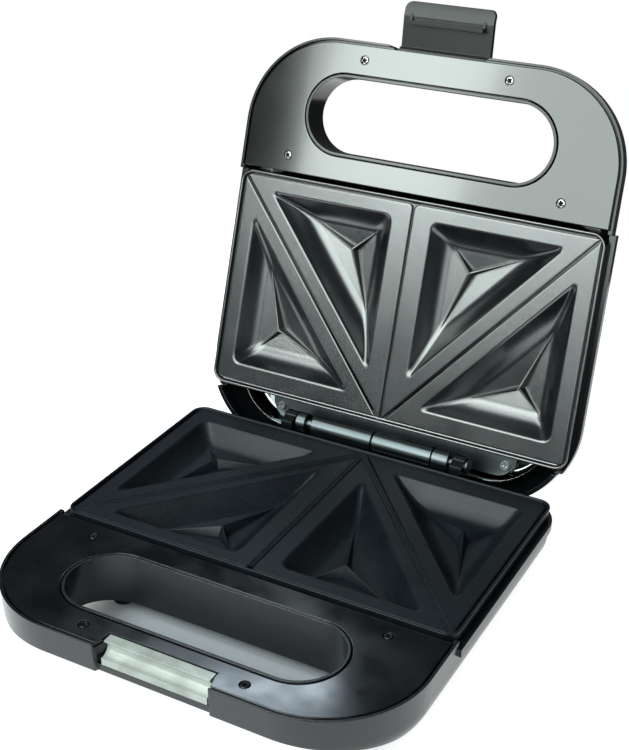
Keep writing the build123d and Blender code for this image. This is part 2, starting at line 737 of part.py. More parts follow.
def casing_cuts(face, rear, rear_corner, depth, tray_screws):
    """The openings that both casings have: handle hole, cover seat and screw holes."""
    clear = SCREW_RADIUS + SCREW_FIT
    return [
        slab(face, hole_outline(HOLE_GAP + HOLE_WALL), -MARGIN, depth + MARGIN),
        slab(face, cover_outline(RIM_WIDTH, rear, rear_corner, HOLE_GAP), -MARGIN, COVER_UNDER),
        columns(face, COVER_SCREWS, clear, 0, COVER_TOP + SCREW_LENGTH),
        columns(face, tray_screws, clear, TRAY_FLOOR, TRAY_UNDER + SCREW_BITE),
    ]


def base_cavity():
    """The hollow of the base, less every wall and boss that stands in it."""
    face = BASE_FACE
    solid = [
        underside_wedge(CASE_WALL),
        slab(face, hole_outline(HOLE_GAP), 0, BASE_DEPTH),
        slab(face, recess_outline(RECESS_WALL), 0, BASE_DEPTH),
        band(face, COVER_START, COVER_START + DIVIDER_WALL, 0, BASE_DEPTH),
        columns(face, COVER_SCREWS, BOSS_RADIUS, 0, BASE_DEPTH),
        columns(face, BASE_TRAY_SCREWS, BOSS_RADIUS, TRAY_UNDER, BASE_DEPTH),
        columns(face, FOOT_PLACES, FOOT_BOSS_RADIUS, TRAY_UNDER, BASE_DEPTH),
    ]
    with BuildSketch() as block_seat:
        with Locations(BLOCK_PLACE):
            Rectangle(BLOCK_SIZE[0], BLOCK_SIZE[1])
    solid.append(slab(face, block_seat.sketch, BLOCK_TOP + BLOCK_SIZE[2], BASE_DEPTH))
    with BuildPart() as cavity:
        add(drafted(face, CASE_WALL, BASE_DEPTH, BASE_EDGE_RADIUS, BASE_REAR, BASE_REAR_CORNER))
        add(solid, mode=Mode.SUBTRACT)
    return cavity.part


def ears():
    """The two ears on the base that hold the ends of the hinge pin."""
    both = []
    for start in (EAR_INNER, -EAR_OUTER):
        with BuildPart() as ear:
            with BuildSketch(side_plane(BASE_FACE, start)):
                Circle(EAR_RADIUS)
                with BuildLine():
                    Polyline(
                        (0, EAR_RADIUS),
                        (BASE_REAR + CASE_WALL, EAR_RADIUS / 2),
                        (BASE_REAR + CASE_WALL, -EAR_BOTTOM),
                        (BASE_REAR, -EAR_BOTTOM),
                        (-EAR_RADIUS * 0.6, -EAR_RADIUS * 0.8),
                        close=True,
                    )
                make_face()
            extrude(amount=EAR_WIDTH)
        both.append(ear.part)
    return both


def base_casing():
    """The lower casing: a tub with the handle, the hinge ears and the foot bosses."""
    face = BASE_FACE
    clear = SCREW_RADIUS + SCREW_FIT
    foot_boss = columns(face, FOOT_PLACES, FOOT_BOSS_RADIUS, BASE_DEPTH - FOOT_BOSS_HEIGHT, BASE_DEPTH)
    with BuildPart() as openings:
        with BuildSketch(LEFT_WALL):
            with Locations((INLET_PLACE, -INLET_DEPTH)):
                Circle(INLET_RADIUS)
        extrude(amount=-2 * CASE_WALL)
        with BuildSketch(side_plane(face, -EAR_OUTER)):
            Circle(HINGE_PIN_RADIUS + HINGE_FIT)
        extrude(amount=2 * EAR_OUTER)
        with BuildSketch(REAR_WALL):
            with Locations(*LEAF_SCREW_PLACES):
                Circle(clear)
        extrude(amount=-CASE_WALL)
    with BuildSketch() as recess_mouth:
        add(recess_outline(0))
        with Locations((0, KEEPER_FRONT)):
            Rectangle(2 * CASE_HALF_WIDTH, CASE_FRONT, align=(Align.CENTER, Align.MIN), mode=Mode.INTERSECT)
    with BuildPart() as casing:
        add(drafted(face, 0, BASE_DEPTH, BASE_EDGE_RADIUS, BASE_REAR, BASE_REAR_CORNER))
        add(underside_wedge(0), mode=Mode.SUBTRACT)
        add([foot_boss, bead(face, BASE_REAR, BASE_REAR_CORNER, BASE_REAR)])
        rims = [
            band(face, BASE_REAR - MARGIN, PLATE_RIM_END, -MARGIN, PLATE_RIM),
            band(face, PLATE_RIM_END, CASE_FRONT + MARGIN, -MARGIN, RIM_TOP),
        ]
        add(rims + [base_cavity()], mode=Mode.SUBTRACT)
        add(ears())
        cuts = casing_cuts(face, BASE_REAR, BASE_REAR_CORNER, BASE_DEPTH, BASE_TRAY_SCREWS)
        cuts += [
            slab(face, recess_outline(0), -MARGIN, KEEPER_BOTTOM + KEEPER_FIT),
            slab(face, recess_mouth.sketch, -MARGIN, BASE_DEPTH + MARGIN),
        ]
        cuts.append(columns(face, FOOT_PLACES, clear, BASE_DEPTH - FOOT_SCREW_BITE, BASE_DEPTH))
        add(cuts + [openings.part], mode=Mode.SUBTRACT)
    return casing.part


def lid_shell(inset):
    """The lid's outer form, drawn inside its full size by an inset: a dome and a lower handle."""
    face = LID_FACE
    rear = (LID_REAR, LID_REAR_CORNER)
    dome = drafted(face, inset, LID_DOME_DEPTH, LID_EDGE_RADIUS, *rear, LID_DOME_FRONT, LID_DOME_CORNER)
    handle = drafted(face, inset, LID_HANDLE_DEPTH, LID_HANDLE_RADIUS, *rear)
    with BuildPart() as shell:
        add(handle)
        behind = band(face, LID_REAR - MARGIN, LID_DOME_FRONT - LID_DOME_CORNER, -MARGIN, LID_DOME_DEPTH)
        add(behind, mode=Mode.SUBTRACT)
        add(dome)
    return shell.part


def lid_casing():
    """The upper casing: a domed shell with the handle and the notch for the latch."""
    face = LID_FACE
    clear = SCREW_RADIUS + SCREW_FIT
    solid = [
        slab(face, hole_outline(HOLE_GAP), 0, LID_DOME_DEPTH),
        slab(face, notch_outline(NOTCH_WALL), 0, LID_DOME_DEPTH),
        band(face, COVER_START, COVER_START + DIVIDER_WALL, 0, LID_DOME_DEPTH),
        columns(face, COVER_SCREWS, BOSS_RADIUS, 0, LID_DOME_DEPTH),
        columns(face, TRAY_FRONT_SCREWS, BOSS_RADIUS, TRAY_UNDER, LID_DOME_DEPTH),
        columns(face, LID_LEAF_SCREWS, BOSS_RADIUS, LID_LEAF_UNDER, LID_DOME_DEPTH),
    ]
    with BuildPart() as cavity:
        add(lid_shell(CASE_WALL))
        add(solid, mode=Mode.SUBTRACT)
    with BuildPart() as pin_hole:
        with BuildSketch(side_plane(face, -LATCH_PIN_HALF_LENGTH)):
            with Locations((LATCH_PIVOT, -LATCH_DEPTH)):
                Circle(LATCH_PIN_RADIUS + LATCH_FIT)
        extrude(amount=2 * LATCH_PIN_HALF_LENGTH)
    with BuildPart() as casing:
        add(lid_shell(0))
        add(bead(face, LID_REAR, LID_REAR_CORNER, LID_RIM_STEP))
        cuts = casing_cuts(face, LID_REAR, LID_REAR_CORNER, LID_DOME_DEPTH, TRAY_FRONT_SCREWS)
        cuts += [
            columns(face, LID_LEAF_SCREWS, clear, LID_LEAF_UNDER, LID_LEAF_UNDER + SCREW_BITE),
            band(face, LID_RIM_STEP, PLATE_RIM_END, -MARGIN, PLATE_RIM),
            band(face, PLATE_RIM_END, CASE_FRONT + MARGIN, -MARGIN, RIM_TOP),
            cavity.part,
            slab(face, notch_outline(0), -MARGIN, LID_DOME_DEPTH + MARGIN),
            columns(face, LAMP_PLACES.values(), LENS_RADIUS + LENS_FIT, TRAY_UNDER, LID_DOME_DEPTH + MARGIN),
            pin_hole.part,
        ]
        add(cuts, mode=Mode.SUBTRACT)
    return casing.part


def handle_cover(face, rear, rear_corner, notched):
    """The glossy cover of a handle. The base's has a notch where the latch comes down."""
    with BuildPart() as cover:
        add(slab(face, cover_outline(COVER_INSET, rear, rear_corner, 0), COVER_TOP, COVER_UNDER))
        fillet(cover.faces().sort_by(Axis(face.origin, face.z_dir))[-1].edges(), radius=COVER_EDGE_RADIUS)
        cuts = [
            columns(face, COVER_SCREWS, SCREW_HEAD_RADIUS + SCREW_FIT, 0, COVER_TOP + SCREW_HEAD_HEIGHT),
            columns(face, COVER_SCREWS, SCREW_RADIUS + SCREW_FIT, 0, COVER_UNDER),
        ]
        if notched:
            cuts.append(slab(face, recess_outline(COVER_NOTCH_GAP), 0, COVER_UNDER))
        add(cuts, mode=Mode.SUBTRACT)
    return cover.part


# ---------------------------------------------------------------- inside the halves
def tray_body(face, inset, rear, rear_corner):
    """The form of a heat shield, drawn inside its full size by an inset."""
    with BuildPart() as body:
        add(slab(face, tray_outline(inset, rear, rear_corner), TRAY_RIM - inset, TRAY_UNDER - inset))
        fillet(deepest(body, face).edges(), radius=TRAY_EDGE_RADIUS - inset)
    return body.part


def heat_shield(face, rear, rear_corner, holes):
    """The bright metal tray between the heating element and the casing."""
    with BuildPart() as tray:
        add(tray_body(face, 0, rear, rear_corner))
        posts = columns(face, POSTS, SCREW_RADIUS + SCREW_FIT, TRAY_FLOOR, TRAY_UNDER)
        add([tray_body(face, TRAY_SHEET, rear, rear_corner), posts, holes], mode=Mode.SUBTRACT)
    return tray.part


def heating_element(face):
    """A tubular heating element bent into a U, with a cold pin at each end."""
    plane = at_depth(face, ELEMENT_DEPTH)
    bend_middle = (ELEMENT_BEND_START + ELEMENT_LEG_SPACING / 2, ELEMENT_REAR_LEG + ELEMENT_LEG_SPACING / 2)
    with BuildPart() as element:
        with BuildLine(plane) as path:
            Line((ELEMENT_LEG_START, ELEMENT_REAR_LEG), (ELEMENT_BEND_START, ELEMENT_REAR_LEG))
            ThreePointArc(
                (ELEMENT_BEND_START, ELEMENT_REAR_LEG), bend_middle, (ELEMENT_BEND_START, ELEMENT_FRONT_LEG)
            )
            Line((ELEMENT_BEND_START, ELEMENT_FRONT_LEG), (ELEMENT_LEG_START, ELEMENT_FRONT_LEG))
        with BuildSketch(Plane(origin=path.line @ 0, z_dir=path.line % 0)):
            Circle(ELEMENT_RADIUS)
        sweep()
        for leg in (ELEMENT_REAR_LEG, ELEMENT_FRONT_LEG):
            start = plane.from_local_coords((ELEMENT_LEG_START - PIN_LENGTH, leg, 0))
            with BuildSketch(Plane(origin=start, z_dir=face.x_dir)):
                Circle(PIN_RADIUS)
            extrude(amount=PIN_LENGTH)
    return element.part


def element_saddles(face):
    """Pressed saddles that hold the heating element up against the plate."""
    group = []
    for across, along in SADDLES:
        start = at_depth(face, ELEMENT_DEPTH).from_local_coords((across - SADDLE_LENGTH, along, 0))
        with BuildPart() as saddle:
            with BuildSketch(at_depth(face, TRAY_FLOOR)):
                with Locations((across, along)):
                    Rectangle(SADDLE_LENGTH, SADDLE_WIDTH)
            extrude(amount=SADDLE_RISE)
            with BuildSketch(Plane(origin=start, z_dir=face.x_dir)):
                Circle(ELEMENT_RADIUS)
            extrude(amount=2 * SADDLE_LENGTH, mode=Mode.SUBTRACT)
        group.append(saddle.part)
    return Compound(children=group)


# The base's rear wall, seen from behind: local X runs along the hinge, local Y is depth.
REAR_WALL = Plane(origin=BASE_FACE.from_local_coords((0, BASE_REAR, 0)), x_dir=(1, 0, 0), z_dir=(0, 1, 0))
# The base's left wall, seen from outside: local X runs to the handle, local Y is minus depth.
LEFT_WALL = Plane(
    origin=BASE_FACE.from_local_coords((CASE_HALF_WIDTH, 0, 0)),
    x_dir=BASE_FACE.y_dir,
    z_dir=BASE_FACE.x_dir - BASE_FACE.z_dir * DRAFT,
)
LEAF_SCREW_PLACES = [(across, (BASE_LEAF_TOP + BASE_LEAF_BOTTOM) / 2) for across in BASE_LEAF_SCREWS]

# ---------------------------------------------------------------- base
save(base_casing(), "base_casing")
save(handle_cover(BASE_FACE, BASE_REAR, BASE_REAR_CORNER, True), "base_handle_cover")
save(cooking_plate(BASE_FACE, True), "base_cooking_plate")
tray_holes = columns(BASE_FACE, BASE_TRAY_SCREWS, SCREW_RADIUS + SCREW_FIT, TRAY_FLOOR, TRAY_UNDER)
save(heat_shield(BASE_FACE, BASE_TRAY_REAR, BASE_TRAY_CORNER, tray_holes), "base_heat_shield")
save(heating_element(BASE_FACE), "base_heating_element")
save(element_saddles(BASE_FACE), "base_element_saddles")
save(screws(BASE_FACE, COVER_SCREWS, COVER_TOP), "base_cover_screws")
save(screws(BASE_FACE, POSTS, TRAY_UNDER + SCREW_HEAD_HEIGHT, outwards=False), "base_plate_screws")
short_screw = SCREW_HEAD_HEIGHT + TRAY_SHEET + SCREW_BITE
save(screws(BASE_FACE, BASE_TRAY_SCREWS, TRAY_FLOOR - SCREW_HEAD_HEIGHT, short_screw), "base_shield_screws")

with BuildPart() as keeper:
    lip_front = RECESS_BACK + KEEPER_LIP_REACH
    lip_under = -KEEPER_TOP - KEEPER_LIP
    groove_back = (RECESS_BACK + KEEPER_BACK, -KEEPER_TOP - GROOVE_TOP)
    groove_end = (KEEPER_FRONT, -KEEPER_TOP - GROOVE_BOTTOM)
    groove_middle = (
        (3 * groove_back[0] + groove_end[0]) / 4,
        (groove_back[1] + 2 * groove_end[1]) / 3,
    )
    with BuildSketch(side_plane(BASE_FACE)):
        with BuildLine():
            Polyline(
                groove_end,
                (KEEPER_FRONT, -KEEPER_BOTTOM),
                (RECESS_BACK, -KEEPER_BOTTOM),
                (RECESS_BACK, -KEEPER_TOP),
                (lip_front, -KEEPER_TOP),
                (lip_front, lip_under),
                groove_back,
            )
            ThreePointArc(groove_back, groove_middle, groove_end)
        make_face()
    extrude(amount=RECESS_HALF_WIDTH - KEEPER_FIT, both=True)
save(keeper.part, "latch_keeper")

with BuildPart() as thermostat:
    cap_depth = PLATE_UNDER + THERMOSTAT_HEIGHT
    with BuildSketch(at_depth(BASE_FACE, cap_depth)):
        with Locations(THERMOSTAT_PLACE):
            Circle(THERMOSTAT_RADIUS)
    extrude(amount=THERMOSTAT_HEIGHT)
    with BuildSketch(at_depth(BASE_FACE, cap_depth + THERMOSTAT_CAP_HEIGHT)):
        with Locations(THERMOSTAT_PLACE):
            Circle(THERMOSTAT_CAP_RADIUS)
    extrude(amount=THERMOSTAT_CAP_HEIGHT)
    strap_width, strap_length, strap_height = THERMOSTAT_STRAP
    with BuildSketch(at_depth(BASE_FACE, cap_depth)):
        with Locations(THERMOSTAT_PLACE):
            Rectangle(strap_width, strap_length)
    extrude(amount=strap_height)
save(thermostat.part, "thermostat")

with BuildPart() as thermal_fuse:
    fuse_plane = at_depth(BASE_FACE, TRAY_UNDER + FUSE_RADIUS)
    lead_end = FUSE_LENGTH + 2 * FUSE_LEAD_LENGTH
    for radius, length in ((FUSE_RADIUS, FUSE_LENGTH), (FUSE_LEAD_RADIUS, lead_end)):
        start = fuse_plane.from_local_coords((FUSE_PLACE[0] - length / 2, FUSE_PLACE[1], 0))
        with BuildSketch(Plane(origin=start, z_dir=BASE_FACE.x_dir)):
            Circle(radius)
        extrude(amount=length)
save(thermal_fuse.part, "thermal_fuse")

with BuildPart() as terminal_block:
    block_width, block_length, block_height = BLOCK_SIZE
    with BuildSketch(at_depth(BASE_FACE, BLOCK_TOP + block_height)):
        with Locations(BLOCK_PLACE):
            Rectangle(block_width, block_length)
    extrude(amount=block_height)
    with BuildSketch(at_depth(BASE_FACE, BLOCK_TOP)):
        with Locations(BLOCK_PLACE):
            with GridLocations(block_width / 2, block_length / BLOCK_WAYS, 2, BLOCK_WAYS):
                Circle(BLOCK_WELL_RADIUS)
    extrude(amount=-BLOCK_WELL_DEPTH, mode=Mode.SUBTRACT)
    with BuildSketch(at_depth(BASE_FACE, BLOCK_TOP + BLOCK_WELL_DEPTH)):
        with Locations(BLOCK_PLACE):
            with GridLocations(block_width / 2, block_length / BLOCK_WAYS, 2, BLOCK_WAYS):
                Circle(BLOCK_SCREW_RADIUS)
    extrude(amount=BLOCK_WELL_DEPTH / 2)
save(terminal_block.part, "terminal_block")

with BuildPart() as inlet:
    with BuildSketch(LEFT_WALL):
        with Locations((INLET_PLACE, -INLET_DEPTH)):
            Circle(INLET_RADIUS)
    extrude(amount=-CASE_WALL - INLET_INNER)
    with BuildSketch(LEFT_WALL):
        with Locations((INLET_PLACE, -INLET_DEPTH)):
            Circle(INLET_RADIUS + INLET_FLANGE)
    extrude(amount=BEAD_WIDTH)
    with BuildSketch(LEFT_WALL.offset(BEAD_WIDTH)):
        with Locations((INLET_PLACE, -INLET_DEPTH)):
            Circle(INLET_BORE)
    extrude(amount=-BEAD_WIDTH - CASE_WALL - INLET_INNER, mode=Mode.SUBTRACT)
save(inlet.part, "cord_inlet_bush")

feet = []
for place in FOOT_PLACES:
    with BuildPart() as foot:
        with BuildSketch(at_depth(BASE_FACE, BASE_DEPTH)):
            with Locations(place):
                Circle(FOOT_RADIUS)
        with BuildSketch(at_depth(BASE_FACE, BASE_DEPTH + FOOT_HEIGHT)):
            with Locations(place):
                Circle(FOOT_TIP_RADIUS)
        loft()
        with BuildSketch(at_depth(BASE_FACE, BASE_DEPTH + FOOT_HEIGHT)):
            with Locations(place):
                Circle(FOOT_RECESS_RADIUS)
        extrude(amount=FOOT_RECESS_DEPTH, mode=Mode.SUBTRACT)
        with BuildSketch(at_depth(BASE_FACE, BASE_DEPTH + FOOT_HEIGHT)):
            with Locations(place):
                Circle(SCREW_RADIUS + SCREW_FIT)
        extrude(amount=FOOT_HEIGHT, mode=Mode.SUBTRACT)
    feet.append(foot.part)
save(Compound(children=feet), "feet")
foot_head_depth = BASE_DEPTH + FOOT_HEIGHT - FOOT_RECESS_DEPTH + SCREW_HEAD_HEIGHT
foot_screw = foot_head_depth - BASE_DEPTH + FOOT_SCREW_BITE
save(screws(BASE_FACE, FOOT_PLACES, foot_head_depth, foot_screw, outwards=False), "foot_screws")


# ---------------------------------------------------------------- hinge
def knuckles(face, ranges, sheet_end, side):
    """Rolled knuckles, each with the sheet that leaves it on one side and runs into the half."""
    inner, outer = sorted((side * KNUCKLE_RADIUS, side * (KNUCKLE_RADIUS - LEAF_SHEET)))
    group = []
    for start, end in ranges:
        with BuildPart() as knuckle:
            with BuildSketch(side_plane(face, start)):
                Circle(KNUCKLE_RADIUS)
                with Locations((inner, 0)):
                    Rectangle(outer - inner, sheet_end, align=(Align.MIN, Align.MAX))
                Circle(HINGE_PIN_RADIUS + HINGE_FIT, mode=Mode.SUBTRACT)
            extrude(amount=end - start)
        group.append(knuckle.part)
    return group


leaf_start = BASE_KNUCKLES[0][0]
leaf_end = BASE_KNUCKLES[-1][1]
with BuildPart() as base_leaf:
    add(knuckles(BASE_FACE, [(-end, -start) for start, end in BASE_KNUCKLES], BASE_LEAF_BOTTOM, 1))
    with BuildSketch(REAR_WALL):
        with Locations((leaf_start, BASE_LEAF_TOP)):
            Rectangle(leaf_end - leaf_start, BASE_LEAF_HEIGHT, align=(Align.MIN, Align.MIN))
    extrude(amount=LEAF_SHEET)
    with BuildSketch(REAR_WALL):
        with Locations(*LEAF_SCREW_PLACES):
            Circle(SCREW_RADIUS + SCREW_FIT)
    extrude(amount=LEAF_SHEET, mode=Mode.SUBTRACT)
save(base_leaf.part, "base_hinge_leaf")

leaf_screws = []
for across, depth in LEAF_SCREW_PLACES:
    head = REAR_WALL.offset(LEAF_SHEET + LEAF_SCREW_HEAD_HEIGHT)
    spot = Plane(origin=head.from_local_coords((across, depth, 0)), x_dir=head.x_dir, z_dir=head.z_dir)
    leaf_screws.append(screw(spot, LEAF_SCREW_HEAD_RADIUS, LEAF_SCREW_HEAD_HEIGHT, LEAF_SCREW_LENGTH))
save(Compound(children=leaf_screws), "base_hinge_screws")

with BuildPart() as lid_leaf:
    with BuildSketch(at_depth(LID_FACE, LID_LEAF_UNDER)) as leaf_plate:
        with Locations((0, -KNUCKLE_RADIUS)):
            leaf_size = (2 * LID_LEAF_HALF_WIDTH, KNUCKLE_RADIUS + LID_LEAF_FRONT)
            Rectangle(*leaf_size, align=(Align.CENTER, Align.MIN))
        fillet(leaf_plate.vertices().group_by(Axis.Y)[0], radius=LID_LEAF_CORNER)
        with Locations(*LID_LEAF_SCREWS):
            Circle(SCREW_RADIUS + SCREW_FIT, mode=Mode.SUBTRACT)
    extrude(amount=LEAF_SHEET)
    add(knuckles(LID_FACE, LID_KNUCKLES, LID_LEAF_UNDER, -1))
save(lid_leaf.part, "lid_hinge_leaf")

with BuildPart() as hinge_pin:
    with BuildSketch(side_plane(BASE_FACE, -EAR_OUTER - PIN_HEAD_HEIGHT)):
        Circle(HINGE_PIN_RADIUS)
    extrude(amount=2 * (EAR_OUTER + PIN_HEAD_HEIGHT))
    for start in (-EAR_OUTER - PIN_HEAD_HEIGHT, EAR_OUTER):
        with BuildSketch(side_plane(BASE_FACE, start)):
            Circle(PIN_HEAD_RADIUS)
        extrude(amount=PIN_HEAD_HEIGHT)
save(hinge_pin.part, "hinge_pin")

# ---------------------------------------------------------------- lid
save(lid_casing(), "lid_casing")
save(handle_cover(LID_FACE, LID_REAR, LID_REAR_CORNER, False), "lid_handle_cover")
save(cooking_plate(LID_FACE, False), "lid_cooking_plate")
with BuildPart() as tray_holes:
    add(columns(LID_FACE, TRAY_FRONT_SCREWS, SCREW_RADIUS + SCREW_FIT, TRAY_FLOOR, TRAY_UNDER))
    add(columns(LID_FACE, LID_LEAF_SCREWS, BOSS_RADIUS + LID_LEAF_BOSS_GAP, LID_LEAF_UNDER, TRAY_UNDER))
save(heat_shield(LID_FACE, LID_TRAY_REAR, LID_TRAY_CORNER, tray_holes.part), "lid_heat_shield")
save(heating_element(LID_FACE), "lid_heating_element")
save(element_saddles(LID_FACE), "lid_element_saddles")
save(screws(LID_FACE, COVER_SCREWS, COVER_TOP), "lid_cover_screws")
save(screws(LID_FACE, POSTS, TRAY_UNDER + SCREW_HEAD_HEIGHT, outwards=False), "lid_plate_screws")
save(screws(LID_FACE, TRAY_FRONT_SCREWS, TRAY_FLOOR - SCREW_HEAD_HEIGHT, short_screw), "lid_shield_screws")
leaf_head_depth = LID_LEAF_UNDER - LEAF_SHEET - SCREW_HEAD_HEIGHT
leaf_screw = SCREW_HEAD_HEIGHT + LEAF_SHEET + SCREW_BITE
save(screws(LID_FACE, LID_LEAF_SCREWS, leaf_head_depth, leaf_screw), "lid_hinge_screws")

for lamp_name, place in LAMP_PLACES.items():
    with BuildPart() as lens:
        with BuildSketch(at_depth(LID_FACE, LID_DOME_DEPTH + LENS_FLANGE_HEIGHT)):
            with Locations(place):
                Circle(LENS_RADIUS + LENS_FLANGE)
        extrude(amount=LENS_FLANGE_HEIGHT)
        fillet(deepest(lens, LID_FACE).edges(), radius=LENS_FLANGE_HEIGHT * 0.6)
        with BuildSketch(at_depth(LID_FACE, LID_DOME_DEPTH)):
            with Locations(place):
                Circle(LENS_RADIUS)
        extrude(amount=CASE_WALL + LENS_INNER)
    save(lens.part, lamp_name + "_lens")

lamps = []
lamp_plane = at_depth(LID_FACE, LID_DOME_DEPTH - CASE_WALL - LENS_INNER - NEON_RADIUS)
for across, along in LAMP_PLACES.values():
    start = lamp_plane.from_local_coords((across, along - NEON_LENGTH / 2, 0))
    with BuildPart() as lamp:
        with BuildSketch(Plane(origin=start, z_dir=LID_FACE.y_dir)):
            Circle(NEON_RADIUS)
        extrude(amount=NEON_LENGTH)
    lamps.append(lamp.part)
save(Compound(children=lamps), "indicator_lamps")

# ---------------------------------------------------------------- latch
# In the latch's own plane local Y runs from its pivot to its free edge, and local X points
# away from the base once it is hooked. Here it stands out from the handle.
PIVOT = side_plane(LID_FACE).from_local_coords((LATCH_PIVOT, -LATCH_DEPTH, 0))
swing = math.radians(LATCH_SWING)
LATCH_PLANE = Plane(
    origin=PIVOT,
    x_dir=LID_FACE.y_dir * math.cos(swing) - LID_FACE.z_dir * math.sin(swing),
    z_dir=LID_FACE.x_dir,
)
with BuildPart() as latch:
    bend_middle = (LATCH_BEND + LATCH_LENGTH) / 2
    free_outer = LATCH_OUTER + LATCH_FLARE
    free_inner = free_outer - LATCH_EDGE
    with BuildSketch(LATCH_PLANE):
        with BuildLine():
            Polyline((LATCH_INNER, LATCH_BEND), (LATCH_INNER, 0), (LATCH_OUTER, 0), (LATCH_OUTER, LATCH_BEND))
            ThreePointArc(
                (LATCH_OUTER, LATCH_BEND),
                (LATCH_OUTER + LATCH_FLARE * 0.3, bend_middle),
                (free_outer, LATCH_LENGTH),
            )
            Line((free_outer, LATCH_LENGTH), (free_inner, LATCH_LENGTH))
            ThreePointArc(
                (free_inner, LATCH_LENGTH),
                (LATCH_INNER + (free_inner - LATCH_INNER) * 0.35, bend_middle),
                (LATCH_INNER, LATCH_BEND),
            )
        make_face()
        Circle(LATCH_BARREL_RADIUS)
        Circle(LATCH_PIN_RADIUS + LATCH_FIT, mode=Mode.SUBTRACT)
    extrude(amount=LATCH_HALF_WIDTH, both=True)
    free_edges = latch.edges().filter_by(Axis(PIVOT, LATCH_PLANE.x_dir))
    fillet(free_edges.sort_by(Axis(PIVOT, LATCH_PLANE.y_dir))[-2:], radius=LATCH_CORNER)
    with BuildSketch(LATCH_PLANE):
        with Locations((LATCH_INNER - BAR_REACH, BAR_PLACE)):
            Rectangle(BAR_REACH + LATCH_THICKNESS / 2, BAR_HEIGHT, align=(Align.MIN, Align.CENTER))
    extrude(amount=BAR_HALF_LENGTH, both=True)
    for start in (-BAR_HALF_LENGTH, BAR_HALF_LENGTH - GUSSET_WIDTH):
        with BuildSketch(LATCH_PLANE.offset(start)):
            with BuildLine():
                Polyline(
                    (LATCH_INNER + LATCH_THICKNESS / 2, BAR_PLACE),
                    (LATCH_INNER - BAR_REACH / 2, BAR_PLACE),
                    (LATCH_INNER, BAR_PLACE + GUSSET_LENGTH),
                    (LATCH_INNER + LATCH_THICKNESS / 2, BAR_PLACE + GUSSET_LENGTH),
                    close=True,
                )
            make_face()
        extrude(amount=GUSSET_WIDTH)
save(latch.part, "latch")

with BuildPart() as latch_pin:
    with BuildSketch(side_plane(LID_FACE, -LATCH_PIN_HALF_LENGTH)):
        with Locations((LATCH_PIVOT, -LATCH_DEPTH)):
            Circle(LATCH_PIN_RADIUS)
    extrude(amount=2 * LATCH_PIN_HALF_LENGTH)
save(latch_pin.part, "latch_pin")

print("hinge axis", [round(c, 3) for c in HINGE])
print("latch axis", [round(c, 3) for c in PIVOT])
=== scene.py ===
"""Looks of an open two-slice sandwich toaster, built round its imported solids.

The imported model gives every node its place. This script dresses those nodes with
procedural finishes, replaces the plain cooking plates and handle-cover screws with
finely shaped ones, and adds the camera, lamps and floor.

Each half of the toaster has its own axes, in millimetres: across (along the hinge),
along (from the hinge to the handle) and depth (from the plane where the halves meet
into the half). A Half turns them into metres in the part's frame.
"""

import json
import logging
import math
from dataclasses import dataclass, field
from enum import Enum
from typing import Dict, List, Sequence, Tuple

import bmesh
import bpy
import numpy as np
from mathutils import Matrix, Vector

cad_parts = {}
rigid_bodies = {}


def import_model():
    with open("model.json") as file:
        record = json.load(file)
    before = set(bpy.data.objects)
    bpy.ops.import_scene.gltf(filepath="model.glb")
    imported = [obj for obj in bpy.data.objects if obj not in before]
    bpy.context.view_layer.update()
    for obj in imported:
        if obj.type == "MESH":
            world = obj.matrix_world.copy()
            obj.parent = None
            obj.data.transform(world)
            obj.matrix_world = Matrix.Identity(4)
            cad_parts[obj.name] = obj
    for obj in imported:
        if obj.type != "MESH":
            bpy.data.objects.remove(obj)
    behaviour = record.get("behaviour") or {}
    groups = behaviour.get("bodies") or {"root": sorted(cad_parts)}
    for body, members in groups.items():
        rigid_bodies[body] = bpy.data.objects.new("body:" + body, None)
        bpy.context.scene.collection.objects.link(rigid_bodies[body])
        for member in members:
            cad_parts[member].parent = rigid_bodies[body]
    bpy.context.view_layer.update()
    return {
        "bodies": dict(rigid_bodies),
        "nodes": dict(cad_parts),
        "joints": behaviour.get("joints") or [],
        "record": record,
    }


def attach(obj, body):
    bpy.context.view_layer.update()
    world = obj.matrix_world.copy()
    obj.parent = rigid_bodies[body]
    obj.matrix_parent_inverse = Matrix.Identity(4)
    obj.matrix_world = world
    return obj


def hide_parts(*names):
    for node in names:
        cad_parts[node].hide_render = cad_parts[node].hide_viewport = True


LOG = logging.getLogger("sandwich_toaster")
Colour = Tuple[float, float, float]
Point = Tuple[float, float]


class HalfName(Enum):
    """The two halves of the toaster, by the body that carries them."""

    BASE = "base"
    LID = "lid"


class Seam(Enum):
    """How the lines between the pockets are cast."""

    RIDGE = "ridge"
    GROOVE = "groove"


